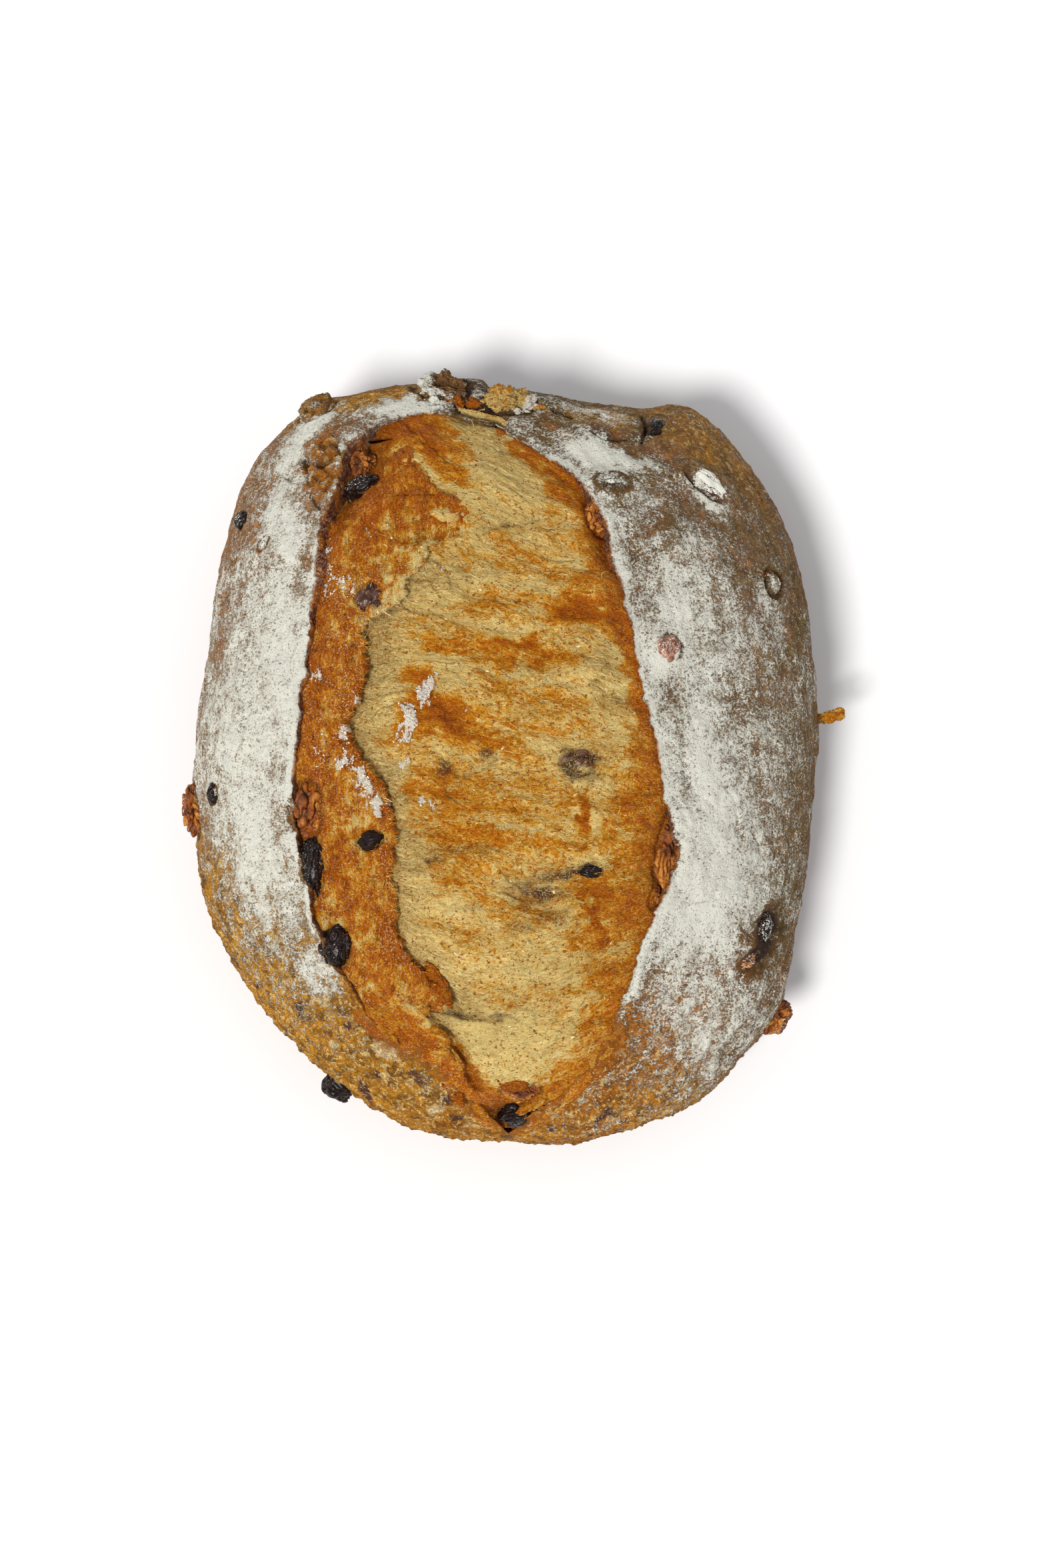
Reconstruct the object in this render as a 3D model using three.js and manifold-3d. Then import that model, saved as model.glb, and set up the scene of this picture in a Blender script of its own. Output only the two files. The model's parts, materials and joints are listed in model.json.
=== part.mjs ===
// A walnut and raisin sourdough loaf: one solid loaf whose long score has opened into a wide mouth of torn
// crumb between two floured crusts, and the fruit and nuts that stand out of it, each in a pocket of its own.
// Millimetres. The loaf lies along Y, +Z is up, and the flat bottom rests on z = 0.
import * as THREE from "three";
import { mergeVertices } from "three/addons/utils/BufferGeometryUtils.js";
import Module from "manifold-3d";

const wasm = await Module();
wasm.setup();

// ---- The loaf's body
const CROWN_HEIGHT = 82; // from the table to the top of the dome
const WIDEST_LEVEL = 28; // height at which the plan is widest
const CROWN_POWER = 2.15; // 2 is an ellipse, more is a fuller shoulder
const BELLY_DEPTH = 40; // where the underside would close if the table did not flatten it
const BELLY_POWER = 2.6;
const OUTLINE_STEP = 15; // degrees between the plan's half-widths, counter-clockwise from +X
const OUTLINE = [
  94, 97, 105, 113, 120, 112, 113, 119, 123, 115, 102, 94,
  94, 96, 101, 104, 108, 114, 115, 117, 117, 112, 101, 95,
];

// ---- The mouth, where the score opened: its rim in plan, counter-clockwise from the notch at the far end
const MOUTH = [
  [-3, 96], [-19, 100], [-31, 99], [-41, 93.5], [-47, 85], [-50, 71], [-54, 63], [-55, 45], [-57, 28],
  [-59, 9], [-60.5, -13], [-60, -29], [-56.5, -43], [-53, -57], [-47, -67], [-39, -79], [-29, -86],
  [-17.5, -91], [-12.5, -100], [-5, -107], [1, -112.5], [9, -106.5], [20, -98.5], [28, -88], [35, -71],
  [41, -55], [47, -42], [50.5, -33], [47, -22], [44.5, -8], [40, 15], [36.5, 32], [32.5, 49], [28, 67],
  [18, 80.5], [8, 87.5],
];
const MOUTH_CENTRE = [-7, -4]; // every ray from here crosses the rim once
const LIP_RISE = 1.2; // how far the crust's torn lip stands above the dome
const LIP_WIDTH = 1.4;
const LIP_FADE = 7; // width over which the lifted lip settles back to the dome
const CRUMB_DROP = 2.6; // how far the crumb lies below the dome at the foot of the lip
const CRUMB_SWELL = 9; // distance from the lip at which the crumb is up again
// The toasted shelf along the left lip ends in a torn edge: [x, y] in plan, from the far end to the near end
const TORN_EDGE = [
  [-10, 62], [-24, 52], [-30, 40], [-41, 30], [-42, 12],
  [-44, 2], [-38, -11], [-32, -30], [-31.5, -57], [-20, -71],
];
const TORN_DROP = 3.2; // height of the step down from the shelf to the paler crumb
const TORN_RUN = 3; // width over which the step falls
const TORN_FILL = 14; // distance at which the crumb has risen to the shelf's height again
const TORN_ENDS = 0.15; // share of the edge's length over which the step starts and ends

// ---- The mesh
const COLUMNS = 96; // around the loaf
const COLUMN_CROWDING = 1.9; // how much closer the columns stand towards the mouth's pointed ends
const CENTRE_SHARE = 0.1; // how far each ring of crumb is pulled in from the even spacing, as a share of it
const REACH_LIMIT = 200; // farther than any point of the plan
const REACH_HALVINGS = 40;
const CURVE_STEPS = 6; // points on a curve between two listed ones
const CRUMB_RINGS = 8;
const CRUST_RINGS = 6; // from the lip down to the widest level
const BELLY_RINGS = 4; // from the widest level to the table
const LUMP_SIDES = 8;
const LUMP_RINGS = 5;
const POCKET_GAP = 0.35; // between a piece and its pocket

// ---- What stands out of the loaf. at is the place in plan, size is [length, width, thickness], turn is the
// angle of the length from +X in degrees, and proud is how far the piece stands above the surface.
const PIECES = {
  raisin_lip_left_upper: { kind: "raisin", at: [-55, -36.5], size: [15.5, 9.5, 9], turn: 78, proud: 3.4 },
  raisin_lip_left_lower: { kind: "raisin", at: [-48.4, -59.2], size: [11.5, 9.5, 9], turn: 62, proud: 4.4 },
  raisin_shelf_small: { kind: "raisin", at: [-37.7, -30.2], size: [7.4, 4.8, 4.6], turn: 14, proud: 1.8 },
  raisin_shelf_round: { kind: "raisin", at: [-39, 40.7], size: [9, 8, 7.5], turn: 70, proud: 1.6 },
  raisin_heel: { kind: "raisin", at: [3.2, -106.6], size: [10.5, 8, 8], turn: 35, proud: 3.2 },
  raisin_edge_left: { kind: "raisin", at: [-50, -98.5], size: [9, 8, 7], turn: -40, proud: 4 },
  raisin_crown_right: { kind: "raisin", at: [45, 97], size: [8.5, 5.5, 6], turn: 68, proud: 1.8 },
  raisin_hollow: { kind: "raisin", at: [-42.5, 75.4], size: [10.5, 6.5, 6.5], turn: 12, proud: 2.6 },
  raisin_shoulder_right: { kind: "raisin", at: [60, 78], size: [14.5, 7.5, 7], turn: -28, proud: 2.6 },
  raisin_bump_right: { kind: "raisin", at: [31.5, 75.5], size: [10.5, 7.5, 7], turn: -10, proud: 2.2 },
  raisin_flank_right: { kind: "raisin", at: [75.6, -53], size: [9.5, 6.5, 6], turn: 75, proud: 1.8 },
  raisin_flank_left: { kind: "raisin", at: [-85.4, -13.9], size: [6, 4.6, 5], turn: 70, proud: 1.6 },
  raisin_side_left: { kind: "raisin", at: [-79.4, 69.4], size: [5, 4, 4.4], turn: 60, proud: 1.4 },
  raisin_side_left_inner: { kind: "raisin", at: [-70.6, 59.4], size: [5.5, 4, 4.4], turn: 50, proud: 1 },
  raisin_crumb_right: { kind: "raisin", at: [24.9, -38.4], size: [6.5, 3.6, 4], turn: -8, proud: 1.4 },
  fruit_crumb: { kind: "raisin", at: [21, -8.4], size: [11, 7.4, 6], turn: -8, proud: 1.6 },
  fruit_lip_right: { kind: "raisin", at: [46.6, 25.2], size: [8.6, 7.6, 7], turn: 60, proud: 2.8 },
  walnut_lip_left: { kind: "walnut", at: [-56, -21.5], size: [16.5, 10, 10], turn: 82, proud: 3.6 },
  walnut_lip_right: { kind: "walnut", at: [46.8, -31.5], size: [21, 9.5, 10], turn: 84, proud: 4 },
  walnut_lip_right_lower: { kind: "walnut", at: [42.3, -45.6], size: [8, 5, 6], turn: 72, proud: 1.6 },
  walnut_lip_right_upper: { kind: "walnut", at: [26.2, 64.6], size: [10.5, 7, 8], turn: 112, proud: 2.4 },
  walnut_hollow: { kind: "walnut", at: [-42.8, 83.6], size: [9.5, 8, 8], turn: 40, proud: 3 },
  walnut_oval_right: { kind: "walnut", at: [79.5, 48.7], size: [10.5, 7.5, 7], turn: 78, proud: 1.2 },
  walnut_flank_right: { kind: "walnut", at: [81, -78.5], size: [12, 8, 8], turn: 50, proud: 4.2 },
  walnut_flank_right_low: { kind: "walnut", at: [70.5, -62.8], size: [6.4, 5, 5], turn: 20, proud: 1.2 },
  walnut_flank_left: { kind: "walnut", at: [-92.6, -16.4], size: [13.5, 9, 9], turn: 88, proud: 4.4 },
  walnut_shoulder_left: { kind: "walnut", at: [-56.5, 103], size: [11, 10, 10], turn: 30, proud: 4.6 },
  walnut_crown: { kind: "walnut", at: [-18.5, 108.8], size: [15.5, 11, 11], turn: -14, proud: 5 },
  walnut_heel: { kind: "walnut", at: [4.8, -99.9], size: [12.5, 6.5, 6], turn: -10, proud: 1.8 },
  crumb_tuft: { kind: "crumb", at: [0.5, 103.2], size: [15, 10, 10], turn: 8, proud: 4.2 },
};
// How each kind is creased: lobes round its length, and the depth of its folds as a share of its radius
const CREASES = {
  raisin: { lobes: 5, fold: 0.09, pinch: 0.08 },
  walnut: { lobes: 4, fold: 0.14, pinch: 0.16 },
  crumb: { lobes: 3, fold: 0.12, pinch: 0.1 },
};
const COLOURS = { loaf: 0xc9b48c, raisin: 0x2b2120, walnut: 0x9a5f2a, crumb: 0xc9b070 };
const ROUGHNESS = { loaf: 0.9, raisin: 0.45, walnut: 0.6, crumb: 0.9 };

// A smooth step from 0 to 1 as value goes from low to high.
const ramp = (value, low, high) => THREE.MathUtils.smoothstep(value, low, high);

// The plan's half-width in the direction of an angle: the listed ones joined by a closed Catmull-Rom curve.
function halfWidth(angle) {
  const turns = THREE.MathUtils.euclideanModulo(THREE.MathUtils.radToDeg(angle), 360) / OUTLINE_STEP;
  const start = Math.floor(turns);
  const t = turns - start;
  const [p, a, b, n] = [-1, 0, 1, 2].map((k) => OUTLINE[(start + k + OUTLINE.length) % OUTLINE.length]);
  return a + 0.5 * t * (b - p + t * (2 * p - 5 * a + 4 * b - n + t * (3 * (a - b) + n - p)));
}

// Height of the smooth dome above a place in plan.
function dome(x, y) {
  const share = Math.min(Math.hypot(x, y) / halfWidth(Math.atan2(y, x)), 1);
  const rise = (1 - share ** CROWN_POWER) ** (1 / CROWN_POWER);
  return WIDEST_LEVEL + (CROWN_HEIGHT - WIDEST_LEVEL) * rise;
}

const planCurve = (points, closed) =>
  new THREE.CatmullRomCurve3(points.map(([x, y]) => new THREE.Vector3(x, y, 0)), closed);
const rim = planCurve(MOUTH, true).getPoints(MOUTH.length * CURVE_STEPS);
const tornEdge = planCurve(TORN_EDGE, false).getPoints(TORN_EDGE.length * CURVE_STEPS);

// Distance in plan from a place to a line of points.
function distanceTo(line, x, y) {
  let nearest = Infinity;
  for (const point of line) nearest = Math.min(nearest, Math.hypot(point.x - x, point.y - y));
  return nearest;
}

// Distance from the mouth's centre to its rim, in a direction of plan.
function reachOfMouth(dx, dy) {
  for (let i = 0; i < rim.length - 1; i++) {
    const ax = rim[i].x - MOUTH_CENTRE[0];
    const ay = rim[i].y - MOUTH_CENTRE[1];
    const ex = rim[i + 1].x - rim[i].x;
    const ey = rim[i + 1].y - rim[i].y;
    const cross = dx * ey - dy * ex;
    const along = (ax * dy - ay * dx) / cross;
    const reach = (ax * ey - ay * ex) / cross;
    if (reach > 0 && along >= 0 && along <= 1) return reach;
  }
  throw new Error("no rim in this direction");
}

// Is a place inside the mouth?
function inMouth(x, y) {
  const [dx, dy] = [x - MOUTH_CENTRE[0], y - MOUTH_CENTRE[1]];
  const distance = Math.hypot(dx, dy);
  return distance < 1e-6 || distance < reachOfMouth(dx / distance, dy / distance);
}

// How far the crumb has dropped past the shelf's torn edge.
function tornDrop(x, y) {
  const distances = tornEdge.map((point) => Math.hypot(point.x - x, point.y - y));
  const past = Math.min(...distances);
  const nearest = distances.indexOf(past);
  if (x < tornEdge[nearest].x) return 0;
  const share = nearest / (tornEdge.length - 1);
  const ends = ramp(share, 0, TORN_ENDS) * (1 - ramp(share, 1 - TORN_ENDS, 1));
  return TORN_DROP * ends * ramp(past, 0, TORN_RUN) * (1 - ramp(past, TORN_RUN, TORN_FILL));
}

// Height of the crumb above a place in the mouth.
function crumb(x, y) {
  const fromLip = distanceTo(rim, x, y);
  return dome(x, y) - CRUMB_DROP * (1 - ramp(fromLip, 0, CRUMB_SWELL)) - tornDrop(x, y);
}

// Where the ray from the mouth's centre leaves the plan.
function reachOfOutline(dx, dy) {
  let low = 0;
  let high = REACH_LIMIT;
  for (let i = 0; i < REACH_HALVINGS; i++) {
    const middle = (low + high) / 2;
    const [x, y] = [MOUTH_CENTRE[0] + dx * middle, MOUTH_CENTRE[1] + dy * middle];
    if (Math.hypot(x, y) < halfWidth(Math.atan2(y, x))) low = middle;
    else high = middle;
  }
  return low;
}

// One column of the loaf's mesh: points from the crumb over the lip and down the crust to the table.
function column(dx, dy) {
  const mouth = reachOfMouth(dx, dy);
  const edge = reachOfOutline(dx, dy);
  const place = (reach) => [MOUTH_CENTRE[0] + dx * reach, MOUTH_CENTRE[1] + dy * reach];
  const points = [];
  for (let k = 1; k <= CRUMB_RINGS; k++) {
    const [x, y] = place((mouth * (k - CENTRE_SHARE)) / CRUMB_RINGS);
    points.push(new THREE.Vector3(x, y, crumb(x, y)));
  }
  const room = edge - mouth; // crust between the lip and the outline, narrow at the notches
  const lips = [
    { reach: mouth, rise: -CRUMB_DROP },
    { reach: mouth + Math.min(LIP_WIDTH, room * 0.2), rise: LIP_RISE },
    { reach: mouth + Math.min(LIP_FADE, room * 0.45), rise: 0 },
  ];
  for (const { reach, rise } of lips) {
    const [x, y] = place(reach);
    points.push(new THREE.Vector3(x, y, dome(x, y) + rise));
  }
  const start = Math.asin((lips[2].reach / edge) ** (CROWN_POWER / 2));
  for (let k = 1; k <= CRUST_RINGS; k++) {
    const angle = start + ((Math.PI / 2 - start) * k) / CRUST_RINGS;
    const [x, y] = place(edge * Math.sin(angle) ** (2 / CROWN_POWER));
    points.push(new THREE.Vector3(x, y, k < CRUST_RINGS ? dome(x, y) : WIDEST_LEVEL));
  }
  const [ex, ey] = place(edge);
  const foot = Math.asin((WIDEST_LEVEL / BELLY_DEPTH) ** (BELLY_POWER / 2));
  for (let k = 1; k <= BELLY_RINGS; k++) {
    const angle = (foot * k) / BELLY_RINGS;
    const share = Math.cos(angle) ** (2 / BELLY_POWER);
    const drop = BELLY_DEPTH * Math.sin(angle) ** (2 / BELLY_POWER);
    points.push(new THREE.Vector3(ex * share, ey * share, k < BELLY_RINGS ? WIDEST_LEVEL - drop : 0));
  }
  return points;
}

// The whole loaf before its pockets are cut: columns joined round, with a cap of crumb and a flat bottom.
function loafBody() {
  const columns = [];
  for (let j = 0; j < COLUMNS; j++) {
    const angle = (2 * Math.PI * j) / COLUMNS;
    const direction = new THREE.Vector2(Math.cos(angle), COLUMN_CROWDING * Math.sin(angle)).normalize();
    columns.push(column(direction.x, direction.y));
  }
  const rows = columns[0].length;
  const [cx, cy] = MOUTH_CENTRE;
  const vertices = [...columns.flat(), new THREE.Vector3(cx, cy, crumb(cx, cy)), new THREE.Vector3(0, 0, 0)];
  const top = vertices.length - 2;
  const bottom = vertices.length - 1;
  const faces = [];
  for (let j = 0; j < COLUMNS; j++) {
    const here = j * rows;
    const next = ((j + 1) % COLUMNS) * rows;
    faces.push(top, here, next);
    for (let k = 0; k < rows - 1; k++) {
      faces.push(here + k, here + k + 1, next + k + 1);
      faces.push(here + k, next + k + 1, next + k);
    }
    faces.push(bottom, next + rows - 1, here + rows - 1);
  }
  const geometry = new THREE.BufferGeometry().setFromPoints(vertices);
  geometry.setIndex(faces);
  return geometry;
}

// A creased lump of a piece's size, standing in the surface where the piece is.
function lump({ kind, at, size, turn, proud }, order, growth) {
  const { lobes, fold, pinch } = CREASES[kind];
  const geometry = new THREE.SphereGeometry(1, LUMP_SIDES, LUMP_RINGS).rotateZ(-Math.PI / 2);
  const position = geometry.getAttribute("position");
  const point = new THREE.Vector3();
  for (let i = 0; i < position.count; i++) {
    point.fromBufferAttribute(position, i);
    const round = Math.atan2(point.z, point.y);
    const crease = 1 + fold * Math.sin(lobes * round + order) * (1 - point.x ** 2);
    const waist = 1 - pinch * Math.cos(4 * point.x + order);
    point.multiplyScalar(crease * waist);
    point.set(point.x * size[0], point.y * size[1], point.z * size[2]).multiplyScalar(0.5);
    point.multiplyScalar(1 + growth / (0.5 * Math.min(...size)));
    position.setXYZ(i, point.x, point.y, point.z);
  }
  return geometry.applyMatrix4(seat(at, turn, proud - size[2] / 2));
}

// The matrix that lays a lump on the surface at a place in plan, its thickness along the surface's normal.
function seat([x, y], turn, lift) {
  const height = inMouth(x, y) ? crumb : dome;
  const probe = 1;
  const normal = new THREE.Vector3(
    (height(x - probe, y) - height(x + probe, y)) / (2 * probe),
    (height(x, y - probe) - height(x, y + probe)) / (2 * probe),
    1,
  ).normalize();
  const angle = THREE.MathUtils.degToRad(turn);
  const length = new THREE.Vector3(Math.cos(angle), Math.sin(angle), 0);
  length.addScaledVector(normal, -length.dot(normal)).normalize();
  const width = new THREE.Vector3().crossVectors(normal, length);
  const centre = new THREE.Vector3(x, y, height(x, y)).addScaledVector(normal, lift);
  return new THREE.Matrix4().makeBasis(length, width, normal).setPosition(centre);
}

function toSolid(geometry) {
  geometry.deleteAttribute("normal");
  geometry.deleteAttribute("uv");
  const merged = mergeVertices(geometry, 1e-4);
  return new wasm.Manifold(
    new wasm.Mesh({
      numProp: 3,
      vertProperties: new Float32Array(merged.getAttribute("position").array),
      triVerts: new Uint32Array(merged.index.array),
    }),
  );
}

function toMesh(solid, name, finish) {
  const { numProp, vertProperties, triVerts } = solid.getMesh();
  const geometry = new THREE.BufferGeometry();
  const corners = [];
  for (let i = 0; i < vertProperties.length; i += numProp) corners.push(...vertProperties.subarray(i, i + 3));
  geometry.setAttribute("position", new THREE.Float32BufferAttribute(corners, 3));
  geometry.setIndex([...triVerts]);
  geometry.computeVertexNormals();
  const material = new THREE.MeshStandardMaterial({
    color: COLOURS[finish],
    roughness: ROUGHNESS[finish],
    metalness: 0,
  });
  const mesh = new THREE.Mesh(geometry, material);
  mesh.name = name;
  return mesh;
}

const loaf = new THREE.Group();
let body = toSolid(loafBody());
Object.entries(PIECES).forEach(([name, piece], order) => {
  body = body.subtract(toSolid(lump(piece, order, POCKET_GAP)));
  loaf.add(toMesh(toSolid(lump(piece, order, 0)), name, piece.kind));
});
loaf.add(toMesh(body, "loaf", "loaf"));

export default loaf;
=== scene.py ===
"""The looks of a walnut and raisin sourdough loaf: floured crust, torn crumb, toasted shelf, fruit, nuts.

Shapes are worked out in millimetres with +Y along the loaf and +Z up, and become metres as meshes are made.
"""
import json
import math

import bmesh
import bpy
import numpy as np
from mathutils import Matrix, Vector

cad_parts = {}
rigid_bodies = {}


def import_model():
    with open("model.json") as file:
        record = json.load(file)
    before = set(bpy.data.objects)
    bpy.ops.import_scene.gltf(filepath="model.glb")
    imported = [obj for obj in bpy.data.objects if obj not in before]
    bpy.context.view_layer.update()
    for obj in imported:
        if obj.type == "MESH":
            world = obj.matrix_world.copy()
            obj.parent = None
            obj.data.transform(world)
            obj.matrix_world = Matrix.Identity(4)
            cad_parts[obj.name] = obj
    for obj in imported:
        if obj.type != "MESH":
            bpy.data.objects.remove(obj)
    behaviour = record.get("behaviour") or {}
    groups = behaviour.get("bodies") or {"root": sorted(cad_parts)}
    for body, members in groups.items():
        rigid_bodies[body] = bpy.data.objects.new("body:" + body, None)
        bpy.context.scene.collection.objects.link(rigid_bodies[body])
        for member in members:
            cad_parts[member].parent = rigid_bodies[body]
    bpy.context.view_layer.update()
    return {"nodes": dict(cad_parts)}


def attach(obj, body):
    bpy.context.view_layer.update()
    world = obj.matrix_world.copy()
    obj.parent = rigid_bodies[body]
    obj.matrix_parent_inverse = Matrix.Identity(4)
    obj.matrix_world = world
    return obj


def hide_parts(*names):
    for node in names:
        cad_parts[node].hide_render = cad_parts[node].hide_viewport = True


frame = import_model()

MM = 0.001
TAU = 2 * math.pi

# ---- The loaf's body, as the construction has it, in millimetres
CROWN_HEIGHT = 82
WIDEST_LEVEL = 28
CROWN_POWER = 2.15
BELLY_DEPTH = 40
BELLY_POWER = 2.6
OUTLINE_STEP = 15
OUTLINE = np.array([
    94, 97, 105, 113, 120, 112, 113, 119, 123, 115, 102, 94,
    94, 96, 101, 104, 108, 114, 115, 117, 117, 112, 101, 95.0,
])
# The mouth's rim in plan: down the left from the far notch to the near one, and back up the right
RIM_LEFT = [
    (-3, 96), (-19, 100), (-31, 99), (-41, 93.5), (-47, 85), (-50, 71), (-54, 63), (-55, 45), (-57, 28),
    (-59, 9), (-60.5, -13), (-60, -29), (-56.5, -43), (-53, -57), (-47, -67), (-39, -79), (-29, -86),
    (-17.5, -91), (-12.5, -100), (-5, -107), (1, -112.5),
]
RIM_RIGHT = [
    (1, -112.5), (9, -106.5), (20, -98.5), (28, -88), (35, -71), (41, -55), (47, -42), (50.5, -33),
    (47, -22), (44.5, -8), (40, 15), (36.5, 32), (32.5, 49), (28, 67), (18, 80.5), (8, 87.5), (-3, 96),
]
SEAM_ANGLES = (92, 271)  # degrees round the outline where the two crusts meet, far end and near end
LIP_RISE = 1.2  # how far the crust's torn lip stands above the dome
LIP_FADE = 5  # width over which it settles
CRUMB_SWELL = 9  # distance at which it is up again

# ---- The toasted shelf along the left lip: its torn edge in plan, from the far end to the near end
TORN_EDGE = [
    (-29, 88), (-27, 83), (-24.6, 79), (-20.6, 73.5), (-15.6, 70.5), (-12, 66), (-10.3, 59), (-18, 57),
    (-23.5, 55), (-24.6, 49.7), (-29, 44.8), (-30, 40), (-34.6, 36), (-40, 33), (-41.2, 24.6),
    (-40.2, 19.8), (-41.6, 12), (-44.5, 6.4), (-44.4, 0.6), (-41, -6), (-37, -12), (-33.2, -19.6),
    (-31.7, -28), (-32.2, -37.4), (-31.3, -48.6), (-31.3, -57), (-26.6, -63.5), (-20, -70), (-17, -74.5),
]
# Height of the step below the shelf's edge, by place along Y
STEP_PLACES = [-78, -72, -60, -45, -25, -10, 5, 30, 36, 44, 56, 60, 66, 75, 90]
STEP_HEIGHTS = [0, 2.2, 3.6, 2.2, 2.8, 3.8, 4.0, 3.6, 2.4, 1.4, 1.2, 0.7, 0.6, 1.0, 0]
SHELF_SINK = 6  # length over which each end of the shelf dives under the crumb
STEP_FILL = 13  # distance from the torn edge at which the crumb is level with the shelf again

# ---- Resolution, in millimetres between points
CRUMB_GRAIN = 0.33
SHELF_GRAIN = 0.33
CRUST_GRAIN = 0.42

# ---- Colours, as red, green and blue from 0 to 255
CREAM = (248, 216, 134)
STRAW = (232, 172, 54)
PALE_CRUMB = (232, 200, 122)
SHADOWED_PALE_CRUMB = (150, 114, 46)
GOLD = (218, 140, 14)
TOAST = (184, 88, 2)
DEEP_TOAST = (116, 46, 4)
BRAN = (156, 76, 14)
STRAND_HIGHLIGHT = (255, 232, 160)
SHADOWED = (116, 74, 18)
SALT = (250, 230, 186)
FLOUR = (235, 234, 220)
COOL_FLOUR = (190, 184, 168)
CLUMP = (250, 244, 230)
GOLDEN_CRUST = (214, 148, 40)
OLIVE_CRUST = (128, 104, 52)
RUST_CRUST = (190, 116, 34)
BROWN_CRUST = (126, 86, 48)
MAUVE_CRUST = (144, 110, 82)
SCORCH_AND_SHADE_BROWN = (44, 28, 20)
LIP_BROWN = (104, 50, 24)
LIP_MAUVE = (140, 96, 76)
TOASTED_EDGE = (190, 108, 24)
LOW_CRUST = (156, 92, 44)
LEFT_CRUST = (180, 124, 76)
STAIN = (46, 40, 40)
MAUVE_SPOT = (92, 62, 60)
SCORCH_SPOT = (96, 54, 18)
PALE_FLAKE = (240, 204, 136)
BUBBLE = (238, 210, 156)
BLOTCH = (66, 42, 18)
MOTTLE = (64, 40, 20)
HUSK = (252, 216, 140)
GRIT = (56, 36, 20)
HAZE = (184, 166, 146)
PEPPER = (70, 48, 36)
LIP_AMBER = (176, 104, 36)
GOLDEN_HIGHLIGHT = (234, 152, 30)
STRAND_FURROW_SHADE = (200, 132, 42)
TOASTED_FLAKE = (192, 98, 10)
BRUISE = (72, 46, 44)
CHARRED_AND_SHADE = (70, 36, 16)
RAISIN_BLACK = (5, 4, 5)
RAISIN_BROWN = (18, 10, 9)
SOFT_FRUIT = (184, 130, 104)
SOFT_FRUIT_DARK = (112, 70, 58)
BLOOM = (150, 152, 148)
NUT_SKIN = (162, 86, 28)
NUT_SKIN_DARK = (100, 50, 18)
NUT_VEIN = (70, 34, 16)
NUT_FLESH = (206, 136, 54)
NUT_FLESH_DARK = (166, 92, 28)
NUT_FURROW_SHADE = (46, 22, 12)
LOOSE_CREAM = (252, 228, 166)
LOOSE_STRAW = (232, 176, 84)
LOOSE_TOAST = (186, 100, 16)
GRAIN_CREAM = (240, 230, 210)
SHOULDER_CRUST = (190, 132, 52)
CROWN_CRUST = (140, 98, 54)
FLOOR_WHITE = (246, 246, 247)


def linear(colour, alpha=1.0):
    """A screen colour as the linear numbers that a shader takes."""
    share = np.array(colour) / 255
    value = np.where(share <= 0.04045, share / 12.92, ((share + 0.055) / 1.055) ** 2.4)
    return (*value.tolist(), alpha)


# ---- random relief
RELIEF_GAIN = 1.7  # brings the heights to about -1 to 1
RIDGE_SHARPNESS = 2.6
LAYER_SHIFT = 7.3  # keeps the layers' cells from lining up


class Relief:
    """Smooth random heights in space from about -1 to 1, the same on every run."""

    def __init__(self, seed):
        random = np.random.default_rng(seed)
        self.order = random.permutation(256)
        slopes = random.normal(size=(256, 3))
        self.slopes = (slopes / np.linalg.norm(slopes, axis=1, keepdims=True)).astype(np.float32)

    def __call__(self, x, y, z=0.0, size=1.0):
        place = np.stack(np.broadcast_arrays(x / size, y / size, z / size), -1).astype(np.float32)
        cell = np.floor(place)
        inside = place - cell
        cell = cell.astype(np.int64)
        ease = inside**3 * (inside * (inside * 6 - 15) + 10)
        total = np.zeros(place.shape[:-1], np.float32)
        for corner in np.ndindex(2, 2, 2):
            index = self.order[(cell[..., 0] + corner[0]) & 255]
            index = self.order[(index + cell[..., 1] + corner[1]) & 255]
            index = self.order[(index + cell[..., 2] + corner[2]) & 255]
            slope = self.slopes[index]
            reach = inside - np.array(corner, np.float32)
            share = np.prod(np.where(corner, ease, 1 - ease), axis=-1)
            total += share * np.sum(reach * slope, axis=-1)
        return total * RELIEF_GAIN

    def layers(self, x, y, z=0.0, size=1.0, count=3, gain=0.5):
        """Several sizes of relief added up, each half the size of the last."""
        x, y, z = x / size, y / size, z / size
        total = 0
        height = 1.0
        for layer in range(count):
            scale = 2**layer
            total = total + height * self(x * scale + LAYER_SHIFT * layer, y * scale, z * scale)
            height *= gain
        return total

    def ridges(self, x, y, z=0.0):
        """Thin raised threads: 1 along them, falling to about 0 between."""
        return 1 - np.minimum(np.abs(self(x, y, z)) * RIDGE_SHARPNESS, 1)


relief_a, relief_b, relief_c, relief_d = (Relief(seed) for seed in (11, 23, 37, 53))


def rise(value, low, high):
    """A smooth step from 0 to 1 as value goes from low to high."""
    t = np.clip((value - low) / (high - low), 0, 1)
    return t * t * (3 - 2 * t)


def bell(value, width):
    return np.exp(-((value / width) ** 2))


# ---- plan and dome
def between(before, a, b, after, t):
    """A smooth line's place at share t of the way from a to b, with the points before and after them."""
    bend = 2 * before - 5 * a + 4 * b - after + t * (3 * (a - b) + after - before)
    return a + 0.5 * t * (b - before + t * bend)


def half_width(angle):
    """The plan's half-width in the direction of an angle, at the widest level."""
    turns = np.mod(np.degrees(angle), 360) / OUTLINE_STEP
    start = np.floor(turns).astype(int)
    around = (OUTLINE[(start + k) % len(OUTLINE)] for k in (-1, 0, 1, 2))
    return between(*around, turns - start)


def dome_share(x, y):
    """0 at the middle of the plan, 1 at its outline."""
    return np.hypot(x, y) / half_width(np.arctan2(y, x))


def dome(x, y):
    share = np.clip(dome_share(x, y), 0, 1)
    return WIDEST_LEVEL + (CROWN_HEIGHT - WIDEST_LEVEL) * (1 - share**CROWN_POWER) ** (1 / CROWN_POWER)


CURVE_STEPS = 24  # places worked out between two given points


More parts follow.
